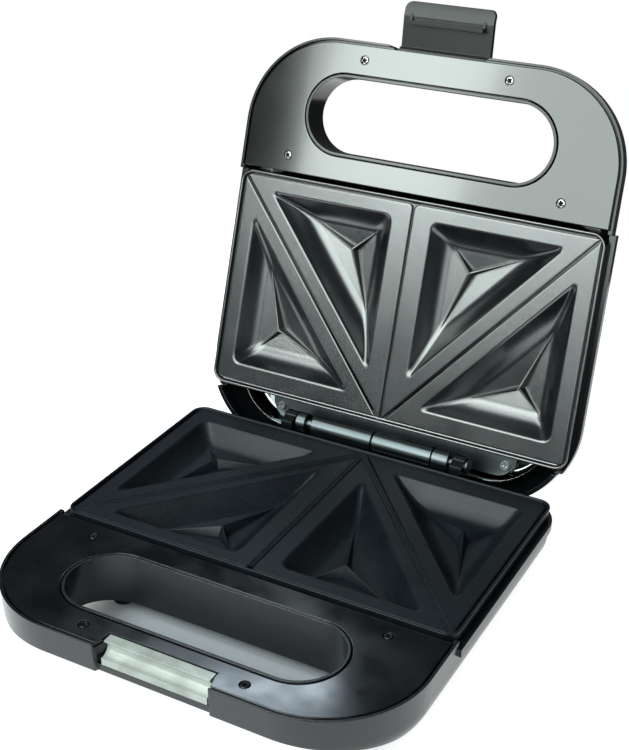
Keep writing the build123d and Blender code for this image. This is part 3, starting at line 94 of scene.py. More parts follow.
# ---------------------------------------------------------------- meshes
@dataclass(frozen=True)
class Half:
    """The place of one half of the toaster.

    Attributes:
        name: which half this is.
        hinge: the hinge axis at mid-width, in metres.
        opening: how far the half is turned up from the base's plane, in degrees.
    """

    name: HalfName
    hinge: Tuple[float, float, float]
    opening: float

    def place(self, across: np.ndarray, along: np.ndarray, depth: np.ndarray) -> np.ndarray:
        """Turns the half's own axes into the part's frame.

        A place along the half runs at the opening angle from the hinge, and depth runs
        square to it: down in the base, up or back in the lid.

        Args:
            across: distances along the hinge, in millimetres.
            along: distances from the hinge towards the handle.
            depth: distances into the half.

        Returns:
            Points in metres, with the coordinates on the last axis.
        """
        across, along, depth = np.broadcast_arrays(across, along, depth)
        turn = math.radians(self.opening)
        side = -1.0 if self.name is HalfName.BASE else 1.0
        back = -along * math.cos(turn) + side * depth * math.sin(turn)
        up = along * math.sin(turn) + side * depth * math.cos(turn)
        return np.stack(
            [self.hinge[0] + across / 1000, self.hinge[1] + back / 1000, self.hinge[2] + up / 1000],
            axis=-1,
        )

    def measure(self, points: np.ndarray) -> Tuple[np.ndarray, np.ndarray, np.ndarray]:
        """Turns points of the part's frame back into the half's own axes.

        Args:
            points: points of shape (number, 3), in metres.

        Returns:
            Distances across, along and into the half, in millimetres.
        """
        turn = math.radians(self.opening)
        side = -1.0 if self.name is HalfName.BASE else 1.0
        across, back, up = ((points - np.array(self.hinge)) * 1000).T
        along = -back * math.cos(turn) + up * math.sin(turn)
        depth = side * (back * math.sin(turn) + up * math.cos(turn))
        return across, along, depth


@dataclass
class MeshBuilder:
    """Collects grids of points and makes one mesh of them.

    Attributes:
        points: the grids' points, one array per grid.
        faces: the grids' faces, as point numbers.
    """

    points: List[np.ndarray] = field(default_factory=list)
    faces: List[np.ndarray] = field(default_factory=list)

    def add_grid(self, grid: np.ndarray, close_rows: bool = False, close_columns: bool = False) -> None:
        """Adds a surface given as a function of two parameters on a grid.

        Every four neighbouring points make a face. A closed direction joins the last
        line of points to the first.

        Args:
            grid: points of shape (rows, columns, 3).
            close_rows: join the last row to the first.
            close_columns: join the last column to the first.
        """
        rows, columns = grid.shape[:2]
        start = sum(len(p) for p in self.points)
        index = np.arange(rows * columns).reshape(rows, columns) + start
        if close_rows:
            index = np.vstack([index, index[:1]])
        if close_columns:
            index = np.hstack([index, index[:, :1]])
        quads = np.stack([index[:-1, :-1], index[:-1, 1:], index[1:, 1:], index[1:, :-1]], axis=-1)
        self.points.append(grid.reshape(-1, 3))
        self.faces.append(quads.reshape(-1, 4))

    def build(self, name: str, sharp: float = 40.0) -> bpy.types.Object:
        """Makes the object, with doubles merged and faces pointing outwards.

        Args:
            name: the object's name.
            sharp: edges that turn by more than this angle stay sharp, in degrees.

        Returns:
            The new object, at the origin.
        """
        mesh = bpy.data.meshes.new(name)
        mesh.from_pydata(np.concatenate(self.points).tolist(), [], np.concatenate(self.faces).tolist())
        tidy_mesh(mesh)
        mesh.shade_smooth()
        mesh.set_sharp_from_angle(angle=math.radians(sharp))
        made = bpy.data.objects.new(name, mesh)
        bpy.context.scene.collection.objects.link(made)
        return made


def tidy_mesh(mesh: bpy.types.Mesh) -> None:
    """Merges doubles, drops faces of no size and turns every face outwards."""
    work = bmesh.new()
    work.from_mesh(mesh)
    bmesh.ops.remove_doubles(work, verts=work.verts, dist=2e-6)
    bmesh.ops.dissolve_degenerate(work, edges=work.edges, dist=1e-6)
    bmesh.ops.recalc_face_normals(work, faces=work.faces)
    work.to_mesh(mesh)
    work.free()


def rounded_polygon(corners: Sequence[Point], radii: Sequence[float], side: int, arc: int) -> np.ndarray:
    """A polygon with rounded corners, as an even closed line of points.

    Each corner is an arc that touches both of its sides; its centre lies on the corner's
    bisector at radius / sin(half angle). Straight runs join the arcs.

    Args:
        corners: the sharp corners, in order.
        radii: the radius at each corner.
        side: points on each straight run.
        arc: points on each arc.

    Returns:
        Points of shape (number, 2).
    """
    tips = np.asarray(corners, float)
    count = len(tips)
    before = np.roll(tips, 1, axis=0) - tips
    after = np.roll(tips, -1, axis=0) - tips
    before /= np.linalg.norm(before, axis=1, keepdims=True)
    after /= np.linalg.norm(after, axis=1, keepdims=True)
    half = np.arccos(np.clip((before * after).sum(1), -1, 1)) / 2
    reach = np.asarray(radii, float)
    bisector = before + after
    bisector /= np.linalg.norm(bisector, axis=1, keepdims=True)
    centres = tips + bisector * (reach / np.sin(half))[:, None]
    starts = tips + before * (reach / np.tan(half))[:, None]
    ends = tips + after * (reach / np.tan(half))[:, None]
    share = np.linspace(0, 1, arc)
    first = starts - centres
    last = ends - centres
    angle = np.pi - 2 * half
    with np.errstate(invalid="ignore", divide="ignore"):
        a = np.sin((1 - share)[None] * angle[:, None]) / np.sin(angle)[:, None]
        b = np.sin(share[None] * angle[:, None]) / np.sin(angle)[:, None]
    arcs = centres[:, None] + a[..., None] * first[:, None] + b[..., None] * last[:, None]
    run = np.linspace(0, 1, side + 2)[1:-1]
    following = np.roll(starts, -1, axis=0)
    sides = ends[:, None] + run[None, :, None] * (following - ends)[:, None]
    return np.concatenate([arcs, sides], axis=1).reshape(count * (arc + side), 2)


def shrink(corners: Sequence[Point], by: float) -> np.ndarray:
    """A triangle whose sides all move inwards by the same distance.

    Every corner moves towards the incentre, by the distance over the inradius.

    Args:
        corners: the triangle's corners.
        by: the distance, negative to grow.

    Returns:
        The new corners, of shape (3, 2).
    """
    tips = np.asarray(corners, float)
    centre, radius = incentre(corners)
    return centre + (tips - centre) * (1 - by / radius)


def incentre(corners: Sequence[Point]) -> Tuple[np.ndarray, float]:
    """The point equally far from a triangle's sides, and that distance."""
    tips = np.asarray(corners, float)
    lengths = np.linalg.norm(np.roll(tips, -1, axis=0) - np.roll(tips, 1, axis=0), axis=1)
    centre = (tips * lengths[:, None]).sum(0) / lengths.sum()
    edge_a, edge_b = tips[1] - tips[0], tips[2] - tips[0]
    area = abs(edge_a[0] * edge_b[1] - edge_a[1] * edge_b[0]) / 2
    return centre, 2 * area / lengths.sum()


COVER_SCREW_PLACES: Tuple[Point, ...] = ((-83.5, 151.1), (83.5, 151.1), (-43.7, 211.1), (43.7, 211.1))


# ---------------------------------------------------------------- shader groups
class Nodes:
    """A small helper that adds and links the nodes of one tree."""

    def __init__(self, tree: bpy.types.NodeTree) -> None:
        """Keeps the tree that nodes are added to."""
        self.tree = tree

    def add(self, kind: str, **values: object) -> bpy.types.Node:
        """Adds a node.

        Args:
            kind: the node's type name.
            values: properties by name; a name that is a socket sets that socket.

        Returns:
            The new node.
        """
        node = self.tree.nodes.new(kind)
        for name, value in values.items():
            socket = next((s for s in node.inputs if s.name.replace(" ", "_") == name), None)
            if socket is not None:
                socket.default_value = value
            else:
                setattr(node, name, value)
        return node

    def link(self, output: bpy.types.NodeSocket, target: bpy.types.NodeSocket) -> None:
        """Links two sockets."""
        self.tree.links.new(output, target)

    def blend(
        self, factor: bpy.types.NodeSocket, low: Sequence[float], high: Sequence[float]
    ) -> bpy.types.NodeSocket:
        """A colour between two, by a factor. Returns the colour socket."""
        mix = self.add("ShaderNodeMix", data_type="RGBA")
        self.link(factor, mix.inputs["Factor"])
        mix.inputs[6].default_value = (*low, 1)
        mix.inputs[7].default_value = (*high, 1)
        return mix.outputs[2]

    def span(self, value: bpy.types.NodeSocket, low: float, high: float) -> bpy.types.NodeSocket:
        """Maps a 0 to 1 value between two limits. Returns the result socket."""
        node = self.add("ShaderNodeMapRange")
        self.link(value, node.inputs["Value"])
        node.inputs["To Min"].default_value = low
        node.inputs["To Max"].default_value = high
        return node.outputs["Result"]


def new_group(name: str, inputs: Dict[str, float], outputs: Dict[str, str]) -> Tuple[bpy.types.NodeTree, bool]:
    """Finds or starts a shader group with named sockets.

    Args:
        name: the group's name.
        inputs: names and default values of its number inputs.
        outputs: names of its outputs, each with its socket type.

    Returns:
        The group, and whether it is new and still has to be filled.
    """
    old = bpy.data.node_groups.get(name)
    if old is not None:
        return old, False
    group = bpy.data.node_groups.new(name, "ShaderNodeTree")
    for label, value in inputs.items():
        socket = group.interface.new_socket(label, in_out="INPUT", socket_type="NodeSocketFloat")
        socket.default_value = value
    for label, kind in outputs.items():
        group.interface.new_socket(label, in_out="OUTPUT", socket_type=kind)
    return group, True


def grain_group() -> bpy.types.NodeTree:
    """The fine grain of a moulded or cast surface.

    Two noises, one three times as fine as the other, add up to a height; a slow third
    noise gives a mask for large soft changes.
    """
    group, new = new_group(
        "fine_grain",
        {"Scale": 1500.0, "Patch Scale": 18.0},
        {"Height": "NodeSocketFloat", "Patches": "NodeSocketFloat"},
    )
    if not new:
        return group
    make = Nodes(group)
    inside = make.add("NodeGroupInput")
    outside = make.add("NodeGroupOutput")
    place = make.add("ShaderNodeTexCoord")
    coarse = make.add("ShaderNodeTexNoise", Detail=3.0, Roughness=0.6)
    fine = make.add("ShaderNodeTexNoise", Detail=2.0, Roughness=0.5)
    triple = make.add("ShaderNodeMath", operation="MULTIPLY")
    triple.inputs[1].default_value = 3.0
    make.link(inside.outputs["Scale"], triple.inputs[0])
    make.link(inside.outputs["Scale"], coarse.inputs["Scale"])
    make.link(triple.outputs[0], fine.inputs["Scale"])
    patches = make.add("ShaderNodeTexNoise", Detail=4.0, Roughness=0.55)
    make.link(inside.outputs["Patch Scale"], patches.inputs["Scale"])
    for noise in (coarse, fine, patches):
        make.link(place.outputs["Object"], noise.inputs["Vector"])
    both = make.add("ShaderNodeMath", operation="ADD")
    make.link(coarse.outputs["Fac"], both.inputs[0])
    make.link(fine.outputs["Fac"], both.inputs[1])
    make.link(both.outputs[0], outside.inputs["Height"])
    wide = make.add("ShaderNodeMapRange")
    wide.inputs["From Min"].default_value = 0.35
    wide.inputs["From Max"].default_value = 0.65
    make.link(patches.outputs["Fac"], wide.inputs["Value"])
    make.link(wide.outputs["Result"], outside.inputs["Patches"])
    return group


def fleck_group() -> bpy.types.NodeTree:
    """The small pale flecks in a non-stick coat.

    Cells of a Voronoi pattern whose random value is high become flecks, softened by the
    distance to the cell's centre.
    """
    group, new = new_group("coat_flecks", {"Scale": 1400.0, "Share": 0.2}, {"Flecks": "NodeSocketFloat"})
    if not new:
        return group
    make = Nodes(group)
    inside = make.add("NodeGroupInput")
    outside = make.add("NodeGroupOutput")
    place = make.add("ShaderNodeTexCoord")
    cells = make.add("ShaderNodeTexVoronoi")
    make.link(place.outputs["Object"], cells.inputs["Vector"])
    make.link(inside.outputs["Scale"], cells.inputs["Scale"])
    apart = make.add("ShaderNodeSeparateColor")
    make.link(cells.outputs["Color"], apart.inputs["Color"])
    chosen = make.add("ShaderNodeMath", operation="LESS_THAN")
    make.link(apart.outputs[0], chosen.inputs[0])
    make.link(inside.outputs["Share"], chosen.inputs[1])
    soft = make.add("ShaderNodeMapRange")
    soft.inputs["From Min"].default_value = 0.55
    soft.inputs["From Max"].default_value = 0.1
    make.link(cells.outputs["Distance"], soft.inputs["Value"])
    product = make.add("ShaderNodeMath", operation="MULTIPLY")
    make.link(chosen.outputs[0], product.inputs[0])
    make.link(soft.outputs["Result"], product.inputs[1])
    make.link(product.outputs[0], outside.inputs["Flecks"])
    return group


def brushed_group() -> bpy.types.NodeTree:
    """The long fine lines of rolled or drawn metal.

    A noise on coordinates squeezed along the hinge, so that its cells become lines.
    """
    group, new = new_group("drawn_lines", {"Scale": 900.0}, {"Lines": "NodeSocketFloat"})
    if not new:
        return group
    make = Nodes(group)
    inside = make.add("NodeGroupInput")
    outside = make.add("NodeGroupOutput")
    place = make.add("ShaderNodeTexCoord")
    squeeze = make.add("ShaderNodeMapping")
    squeeze.inputs["Scale"].default_value = (0.02, 1, 1)
    noise = make.add("ShaderNodeTexNoise", Detail=4.0, Roughness=0.6)
    make.link(place.outputs["Object"], squeeze.inputs["Vector"])
    make.link(squeeze.outputs["Vector"], noise.inputs["Vector"])
    make.link(inside.outputs["Scale"], noise.inputs["Scale"])
    make.link(noise.outputs["Fac"], outside.inputs["Lines"])
    return group


# ---------------------------------------------------------------- finishes
@dataclass(frozen=True)
class Finish:
    """What every finish has.

    Attributes:
        name: the material's name.
        colour: the main colour, linear.
        second: the colour of patches, flecks or lines.
        roughness: the roughness, at its lowest and highest.
        grain: how fine the grain is, in cells per metre.
        relief: how deep the grain is, in metres.
        edge: the radius that edges are eased by, in metres.
    """

    name: str
    colour: Colour
    second: Colour
    roughness: Tuple[float, float] = (0.3, 0.4)
    grain: float = 1500.0
    relief: float = 1e-5
    edge: float = 0.0004

    def start(self) -> Tuple[bpy.types.Material, Nodes, bpy.types.Node]:
        """Starts the material. Returns it, its node helper and its shader."""
        material = bpy.data.materials.new(self.name)
        material.use_nodes = True
        make = Nodes(material.node_tree)
        shader = next(n for n in material.node_tree.nodes if n.type == "BSDF_PRINCIPLED")
        material.diffuse_color = (*self.colour, 1)
        return material, make, shader

    def grained(self, make: Nodes, shader: bpy.types.Node, patch_scale: float = 18.0) -> bpy.types.NodeSocket:
        """Gives the shader its grain, soft patches and eased edges.

        Args:
            make: the material's node helper.
            shader: the material's shader.
            patch_scale: how fine the soft patches are.

        Returns:
            The patches' mask.
        """
        grain = make.add("ShaderNodeGroup", node_tree=grain_group())
        grain.inputs["Scale"].default_value = self.grain
        grain.inputs["Patch Scale"].default_value = patch_scale
        bump = make.add("ShaderNodeBump")
        bump.inputs["Strength"].default_value = 1.0
        bump.inputs["Distance"].default_value = self.relief
        make.link(grain.outputs["Height"], bump.inputs["Height"])
        if self.edge > 0:
            eased = make.add("ShaderNodeBevel", samples=6)
            eased.inputs["Radius"].default_value = self.edge
            make.link(eased.outputs["Normal"], bump.inputs["Normal"])
        make.link(bump.outputs["Normal"], shader.inputs["Normal"])
        make.link(make.blend(grain.outputs["Patches"], self.colour, self.second), shader.inputs["Base Color"])
        make.link(make.span(grain.outputs["Patches"], *self.roughness), shader.inputs["Roughness"])
        return grain.outputs["Patches"]


@dataclass(frozen=True)
class MouldedPlastic(Finish):
    """Moulded plastic, from satin to high gloss.

    Attributes:
        coat: the weight of the gloss layer.
        shine: the specular level, 0.5 for plain plastic.
    """

    coat: float = 0.0
    shine: float = 0.5
    patch_scale: float = 18.0

    def build(self) -> bpy.types.Material:
        """Makes the material."""
        material, make, shader = self.start()
        self.grained(make, shader, self.patch_scale)
        shader.inputs["Coat Weight"].default_value = self.coat
        shader.inputs["Coat Roughness"].default_value = 0.04
        shader.inputs["Specular IOR Level"].default_value = self.shine
        return material


@dataclass(frozen=True)
class NonstickCoat(Finish):
    """A sprayed non-stick coat on cast aluminium, with pale flecks.

    Attributes:
        fleck: the colour of the flecks.
        metal: how metallic the coat looks.
        density: the coat's index of refraction.
        shine: its specular level.
    """

    fleck: Colour = (0.3, 0.3, 0.3)
    metal: float = 0.3
    density: float = 1.9
    shine: float = 0.6

    def build(self) -> bpy.types.Material:
        """Makes the material."""
        material, make, shader = self.start()
        patches = self.grained(make, shader, 30.0)
        flecks = make.add("ShaderNodeGroup", node_tree=fleck_group())
        mix = make.add("ShaderNodeMix", data_type="RGBA")
        make.link(flecks.outputs["Flecks"], mix.inputs["Factor"])
        make.link(make.blend(patches, self.colour, self.second), mix.inputs[6])
        mix.inputs[7].default_value = (*self.fleck, 1)
        make.link(mix.outputs[2], shader.inputs["Base Color"])
        shader.inputs["Metallic"].default_value = self.metal
        shader.inputs["IOR"].default_value = self.density
        shader.inputs["Specular IOR Level"].default_value = self.shine
        return material


@dataclass(frozen=True)
class Metal(Finish):
    """Bare, plated or polished metal with fine drawn lines."""

    def build(self) -> bpy.types.Material:
        """Makes the material."""
        material, make, shader = self.start()
        patches = self.grained(make, shader, 40.0)
        lines = make.add("ShaderNodeGroup", node_tree=brushed_group())
        both = make.add("ShaderNodeMath", operation="MULTIPLY")
        make.link(lines.outputs["Lines"], both.inputs[0])
        make.link(patches, both.inputs[1])
        make.link(make.blend(lines.outputs["Lines"], self.colour, self.second), shader.inputs["Base Color"])
        make.link(make.span(both.outputs[0], *self.roughness), shader.inputs["Roughness"])
        shader.inputs["Metallic"].default_value = 1.0
        return material


@dataclass(frozen=True)
class TintedLens(Finish):
    """Clear tinted plastic of an indicator lens."""

    def build(self) -> bpy.types.Material:
        """Makes the material."""
        material, make, shader = self.start()
        self.grained(make, shader)
        shader.inputs["Transmission Weight"].default_value = 0.75
        shader.inputs["Coat Weight"].default_value = 0.5
        return material


CASING = MouldedPlastic(
    "satin_casing", (0.004, 0.005, 0.006), (0.006, 0.007, 0.009), (0.20, 0.26), 2600.0, 8e-6, 0.0005, shine=0.6
)
LID_CASING = MouldedPlastic(
    "satin_lid_casing", (0.004, 0.005, 0.006), (0.005, 0.006, 0.008), (0.14, 0.18), 2600.0, 3e-6, 0.0005, shine=0.55
)
BASE_COVER = MouldedPlastic(
    "gloss_base_cover", (0.003, 0.004, 0.004), (0.006, 0.007, 0.008), (0.09, 0.17), 900.0, 2e-6, 0.0005,
    shine=0.5, patch_scale=45.0,
)
LID_COVER = MouldedPlastic(
    "gloss_lid_cover", (0.003, 0.004, 0.004), (0.005, 0.006, 0.006), (0.10, 0.13), 1800.0, 1.5e-6, 0.0005, coat=0.3,
    shine=0.9,
)
# The keeper is gloss black plastic: its pale grey-green colour is a painted reflection of the white softbox, and its
# darker patches mottle that painted reflection.
KEEPER_PAINTED_REFLECTION = MouldedPlastic(
    "gloss_keeper", (0.46, 0.50, 0.46), (0.34, 0.36, 0.33), (0.24, 0.34), 1200.0, 6e-6, 0.0003, coat=0.1,
    patch_scale=90.0,
)
LATCH = MouldedPlastic(
    "satin_latch", (0.012, 0.013, 0.013), (0.016, 0.017, 0.017), (0.34, 0.42), 2400.0, 1.5e-5, 0.0004
)
FOOT = MouldedPlastic(
    "foot_rubber", (0.012, 0.012, 0.012), (0.018, 0.018, 0.018), (0.75, 0.9), 3000.0, 3e-5, 0.0005, shine=0.3
)
BUSH = MouldedPlastic(
    "inlet_rubber", (0.014, 0.014, 0.014), (0.02, 0.02, 0.02), (0.55, 0.7), 3000.0, 2e-5, 0.0003, shine=0.3
)
TERMINAL = MouldedPlastic(
    "terminal_plastic", (0.62, 0.60, 0.54), (0.55, 0.53, 0.47), (0.35, 0.5), 1500.0, 1e-5, 0.0003
)
CERAMIC = MouldedPlastic(
    "switch_ceramic", (0.60, 0.54, 0.44), (0.52, 0.46, 0.38), (0.5, 0.7), 2500.0, 2e-5, 0.0002
)
BASE_PLATE = NonstickCoat(
    "nonstick_base", (0.003, 0.005, 0.008), (0.006, 0.009, 0.013), (0.38, 0.44), 1700.0, 2.4e-5, 0.0,
    fleck=(0.022, 0.03, 0.038), metal=0.0, density=1.6, shine=0.28,
)
LID_PLATE = NonstickCoat(
    "nonstick_lid", (0.003, 0.0045, 0.0055), (0.006, 0.008, 0.009), (0.20, 0.25), 2100.0, 2.4e-5, 0.0,
    fleck=(0.035, 0.042, 0.042), metal=0.0, density=1.95, shine=0.7,
)
REFLECTOR = Metal("reflector_sheet", (0.42, 0.44, 0.43), (0.30, 0.32, 0.32), (0.05, 0.14), 500.0, 1.2e-5, 0.0003)
SHEATH = Metal("element_sheath", (0.20, 0.17, 0.14), (0.13, 0.11, 0.10), (0.4, 0.6), 1800.0, 1e-5, 0.0)
ZINC = Metal("zinc_plate", (0.50, 0.51, 0.52), (0.40, 0.41, 0.42), (0.22, 0.38), 2200.0, 6e-6, 0.0002)
BRIGHT_SCREW = Metal("bright_screw", (0.62, 0.64, 0.62), (0.48, 0.50, 0.48), (0.16, 0.26), 2200.0, 4e-6, 0.00015)
DARK_SCREW = Metal("dark_screw", (0.10, 0.11, 0.12), (0.06, 0.07, 0.08), (0.24, 0.34), 2200.0, 6e-6, 0.00015)
# Near-black finish for the inside of the screws' crosses: painted shade in the recess, darker than the screws' own
# metal.
PAINTED_RECESS_SHADE = Metal("screw_recess", (0.012, 0.013, 0.014), (0.02, 0.02, 0.022), (0.5, 0.6), 2200.0, 4e-6, 0.0)
HINGE_STEEL = Metal("hinge_steel", (0.13, 0.15, 0.155), (0.10, 0.115, 0.12), (0.30, 0.38), 2400.0, 2e-6, 0.0003)
RED_LENS = TintedLens("red_lens", (0.55, 0.02, 0.015), (0.45, 0.015, 0.01), (0.08, 0.14), 900.0, 2e-6, 0.0002)
GREEN_LENS = TintedLens("green_lens", (0.02, 0.38, 0.05), (0.015, 0.3, 0.04), (0.08, 0.14), 900.0, 2e-6, 0.0002)
NEON = TintedLens("neon_glass", (0.8, 0.5, 0.35), (0.7, 0.42, 0.3), (0.05, 0.1), 900.0, 1e-6, 0.0)

NODE_FINISHES: Dict[str, Finish] = {
    "base_casing": CASING,
    "lid_casing": LID_CASING,
    "base_handle_cover": BASE_COVER,
    "lid_handle_cover": LID_COVER,
    "base_cooking_plate": BASE_PLATE,
    "lid_cooking_plate": LID_PLATE,
    "base_heat_shield": REFLECTOR,
    "lid_heat_shield": REFLECTOR,
    "base_heating_element": SHEATH,
    "lid_heating_element": SHEATH,
    "base_element_saddles": ZINC,
    "lid_element_saddles": ZINC,
    "base_cover_screws": DARK_SCREW,
    "lid_cover_screws": BRIGHT_SCREW,
    "base_plate_screws": ZINC,
    "lid_plate_screws": ZINC,
    "base_shield_screws": ZINC,
    "lid_shield_screws": ZINC,
    "lid_hinge_screws": ZINC,
    "base_hinge_screws": HINGE_STEEL,
    "foot_screws": ZINC,
    "latch_keeper": KEEPER_PAINTED_REFLECTION,
    "latch": LATCH,
    "latch_pin": HINGE_STEEL,
    "thermostat": CERAMIC,
    "thermal_fuse": ZINC,
    "terminal_block": TERMINAL,
    "cord_inlet_bush": BUSH,
    "feet": FOOT,
    "base_hinge_leaf": HINGE_STEEL,
    "lid_hinge_leaf": HINGE_STEEL,
    "hinge_pin": HINGE_STEEL,
    "power_lens": RED_LENS,
    "ready_lens": GREEN_LENS,
    "indicator_lamps": NEON,
}


@dataclass
class Paintbox:
    """Makes each finish once and puts it on pieces.

    Attributes:
        made: the materials made so far, by name.
    """

    made: Dict[str, bpy.types.Material] = field(default_factory=dict)

    def material(self, finish: Finish) -> bpy.types.Material:
        """The finish's material, made on first use."""
        if finish.name not in self.made:
            self.made[finish.name] = finish.build()
        return self.made[finish.name]

    def dress(self, piece: bpy.types.Object, finish: Finish) -> None:
        """Puts a finish on all of a piece."""
        piece.data.materials.clear()
        piece.data.materials.append(self.material(finish))


# ---------------------------------------------------------------- cooking plates
@dataclass
class CookingPlate:
    """A cast plate with four triangular pockets, sizes in millimetres.

    Attributes:
        half: the half that the plate sits in.
        seam: how the lines between its pockets are cast.
        start: hinge axis to the plate's hinge-side edge.
    """

    half: Half
    seam: Seam
    start: float = 11.2
    width: float = 222.0
    length: float = 127.4
    corner: float = 7.0
    lip: float = 0.4
    land: float = 1.4
    border: float = 2.2
    skirt: float = 5.6
    pocket_depth: float = 11.8
    pocket_power: float = 2.1
    pocket_foot: float = 0.93
    pocket_split: float = 0.54
    seam_width: float = 1.1
    from_seam: float = 12.4
    from_diagonal: float = 9.2
    from_side: float = 11.3
    from_handle_edge: float = 10.6
    from_hinge_edge: float = 12.8
    square_radius: float = 5.0
    tip_radius: float = 1.8
    fin_height: float = 5.7
    fin_reach: float = 0.56
    fin_foot: float = 0.90
    fin_slope: float = 0.16

    @property
    def end(self) -> float:
        """Hinge axis to the plate's handle-side edge."""
        return self.start + self.length

    def triangle(self, side: int, by_handle: bool, gaps: Tuple[float, float, float]) -> np.ndarray:
        """One triangle of the pattern: its square corner, then its two sharp ones.

        The diagonal runs from the middle of the hinge edge to a handle corner; each
        triangle keeps its own gap to the three lines round it.

        Args:
            side: 1 for the right of the plate, -1 for the left.
            by_handle: the triangle between seam and handle, or the one by the side.
            gaps: gaps to the upright line, to the diagonal and to the plate's edge.

        Returns:
            Corners of shape (3, 2), across and along.
        """
        half_width = self.width / 2
        slope = self.length / half_width
        upright, diagonal, edge = gaps
        shift = diagonal * math.hypot(1, slope)
        if by_handle:
            near, far = upright, self.end - edge
            line = self.start + shift
            tips = [(near, far), (near, line + slope * near), ((far - line) / slope, far)]
        else:
            near, far = half_width - upright, self.start + edge
            line = self.start - shift
            tips = [(near, far), (near, line + slope * near), ((far - line) / slope, far)]
        return np.array(tips) * (side, 1)

    def pocket(self, side: int, by_handle: bool) -> np.ndarray:
        """The sharp corners of a pocket's rim."""
        edge = self.from_handle_edge if by_handle else self.from_hinge_edge
        upright = self.from_seam if by_handle else self.from_side
        return self.triangle(side, by_handle, (upright, self.from_diagonal, edge))

    def tile(self, side: int, by_handle: bool, inset: float) -> np.ndarray:
        """The sharp corners of the land round a pocket, drawn in from the seams."""
        seam = self.seam_width / 2 + inset
        upright = seam if by_handle else self.border + inset
        return self.triangle(side, by_handle, (upright, seam, self.border + inset))

    def depth_at(self, into: np.ndarray, radius: float) -> np.ndarray:
        """Depth of a pocket at a distance in from its rim.

        With share the distance over the pocket's inradius, the wall falls as
        foot * (1 - (1 - share / split) ** power) up to the split, steep at the rim and
        level at its foot; the nearly flat floor inside falls evenly by the rest.
        """
        share = np.clip(into / radius, 0, 1)
        wall = self.pocket_foot * (1 - (1 - np.minimum(share / self.pocket_split, 1)) ** self.pocket_power)
        floor = (1 - self.pocket_foot) * np.clip((share - self.pocket_split) / (1 - self.pocket_split), 0, 1)
        return self.land + self.pocket_depth * (wall + floor)

    def pocket_rings(self, corners: np.ndarray) -> Tuple[List[np.ndarray], List[float]]:
        """Lines round a pocket, from outside its rim to its middle.

        Args:
            corners: the rim's sharp corners.

        Returns:
            The lines' points, and the depth of each line.
        """
        centre, radius = incentre(corners)
        into = np.concatenate([[-1.3, -0.9, -0.5, -0.2, 0.05, 0.35, 0.7], np.linspace(0.055, 0.985, 26) * radius])
        depths = self.depth_at(into, radius)
        ease = np.clip((into + 0.9) / 1.9, 0, 1)
        depths[:7] = self.land + (self.depth_at(np.array([1.0]), radius)[0] - self.land) * ease[:7] ** 2.0
        rings = []
        for distance in into:
            size = 1 - distance / radius
            radii = np.array([self.square_radius, self.tip_radius, self.tip_radius])
            radii = np.minimum(radii * size + 0.10 * max(distance, 0.0), 0.72 * size * radius + 0.02)
            rings.append(rounded_polygon(shrink(corners, distance), radii, 26, 9))
        return rings, list(depths)

    def add_tile(self, builder: MeshBuilder, side: int, by_handle: bool) -> None:
        """Adds a pocket with the land round it, and the casting's wall behind."""
        corners = self.pocket(side, by_handle)
        rings, depths = self.pocket_rings(corners)
        radii = (2.6, 0.35, 0.35) if by_handle else (2.6, 0.35, 0.35)
        for inset, depth in ((1.15, self.land), (0.75, self.land), (0.3, self.land + 0.06), (0.06, self.land + 0.3), (0.0, self.land + 1.1)):
            rings.insert(0, rounded_polygon(self.tile(side, by_handle, inset), radii, 26, 9))
            depths.insert(0, depth)
        lines = np.stack(rings)
        behind = lines[::-1]
        back = np.array(depths)[::-1] + 1.8
        across = np.concatenate([lines, behind])
        depth = np.concatenate([depths, back])[:, None]
        grid = self.half.place(across[..., 0], across[..., 1], depth)
        builder.add_grid(grid, close_rows=True, close_columns=True)
        centre = incentre(corners)[0]
        for level, ring in ((depths[-1] + 0.01, rings[-1]), (back[0] + 0.01, rings[-1])):
            middle = np.broadcast_to(centre, ring.shape)
            cap = self.half.place(
                np.stack([ring[:, 0], middle[:, 0]]), np.stack([ring[:, 1], middle[:, 1]]), np.array(level)
            )
            builder.add_grid(cap, close_columns=True)

    def add_fin(self, builder: MeshBuilder, corners: np.ndarray) -> None:
        """Adds the three-way blade in the middle of a pocket.

        Each branch is a profile of seven points carried from the middle towards a
        corner. Its crest falls in a straight line and narrows; its flanks run down at
        about 15 degrees from upright to under the pocket's wall.
        """
        centre, radius = incentre(corners)
        share = np.linspace(-0.02, 1, 18)[:, None]
        for corner in corners:
            reach = self.fin_reach * np.linalg.norm(corner - centre)
            heading = (corner - centre) / np.linalg.norm(corner - centre)
            aside = np.array([-heading[1], heading[0]])
            floor = self.land + self.pocket_depth
            top = floor - self.fin_height
            tip = self.land + self.pocket_depth * (self.fin_foot + 0.015)
            crest = top + (tip - top) * share
            half_width = 0.62 + (0.22 - 0.62) * share
            fall = floor + 0.6 - crest
            spread = half_width + fall * self.fin_slope * (1 - 0.4 * share)
            offsets = np.concatenate(
                [-spread, -half_width, -half_width * 0.6, 0 * share, half_width * 0.6, half_width, spread], axis=1
            )
            drops = np.concatenate(
                [fall, 0 * share + 0.30, 0 * share + 0.06, 0 * share, 0 * share + 0.06, 0 * share + 0.30, fall],
                axis=1,
            )
            across = centre[0] + share * reach * heading[0] + offsets * aside[0]
            along = centre[1] + share * reach * heading[1] + offsets * aside[1]
            builder.add_grid(self.half.place(across, along, crest + drops), close_columns=True)

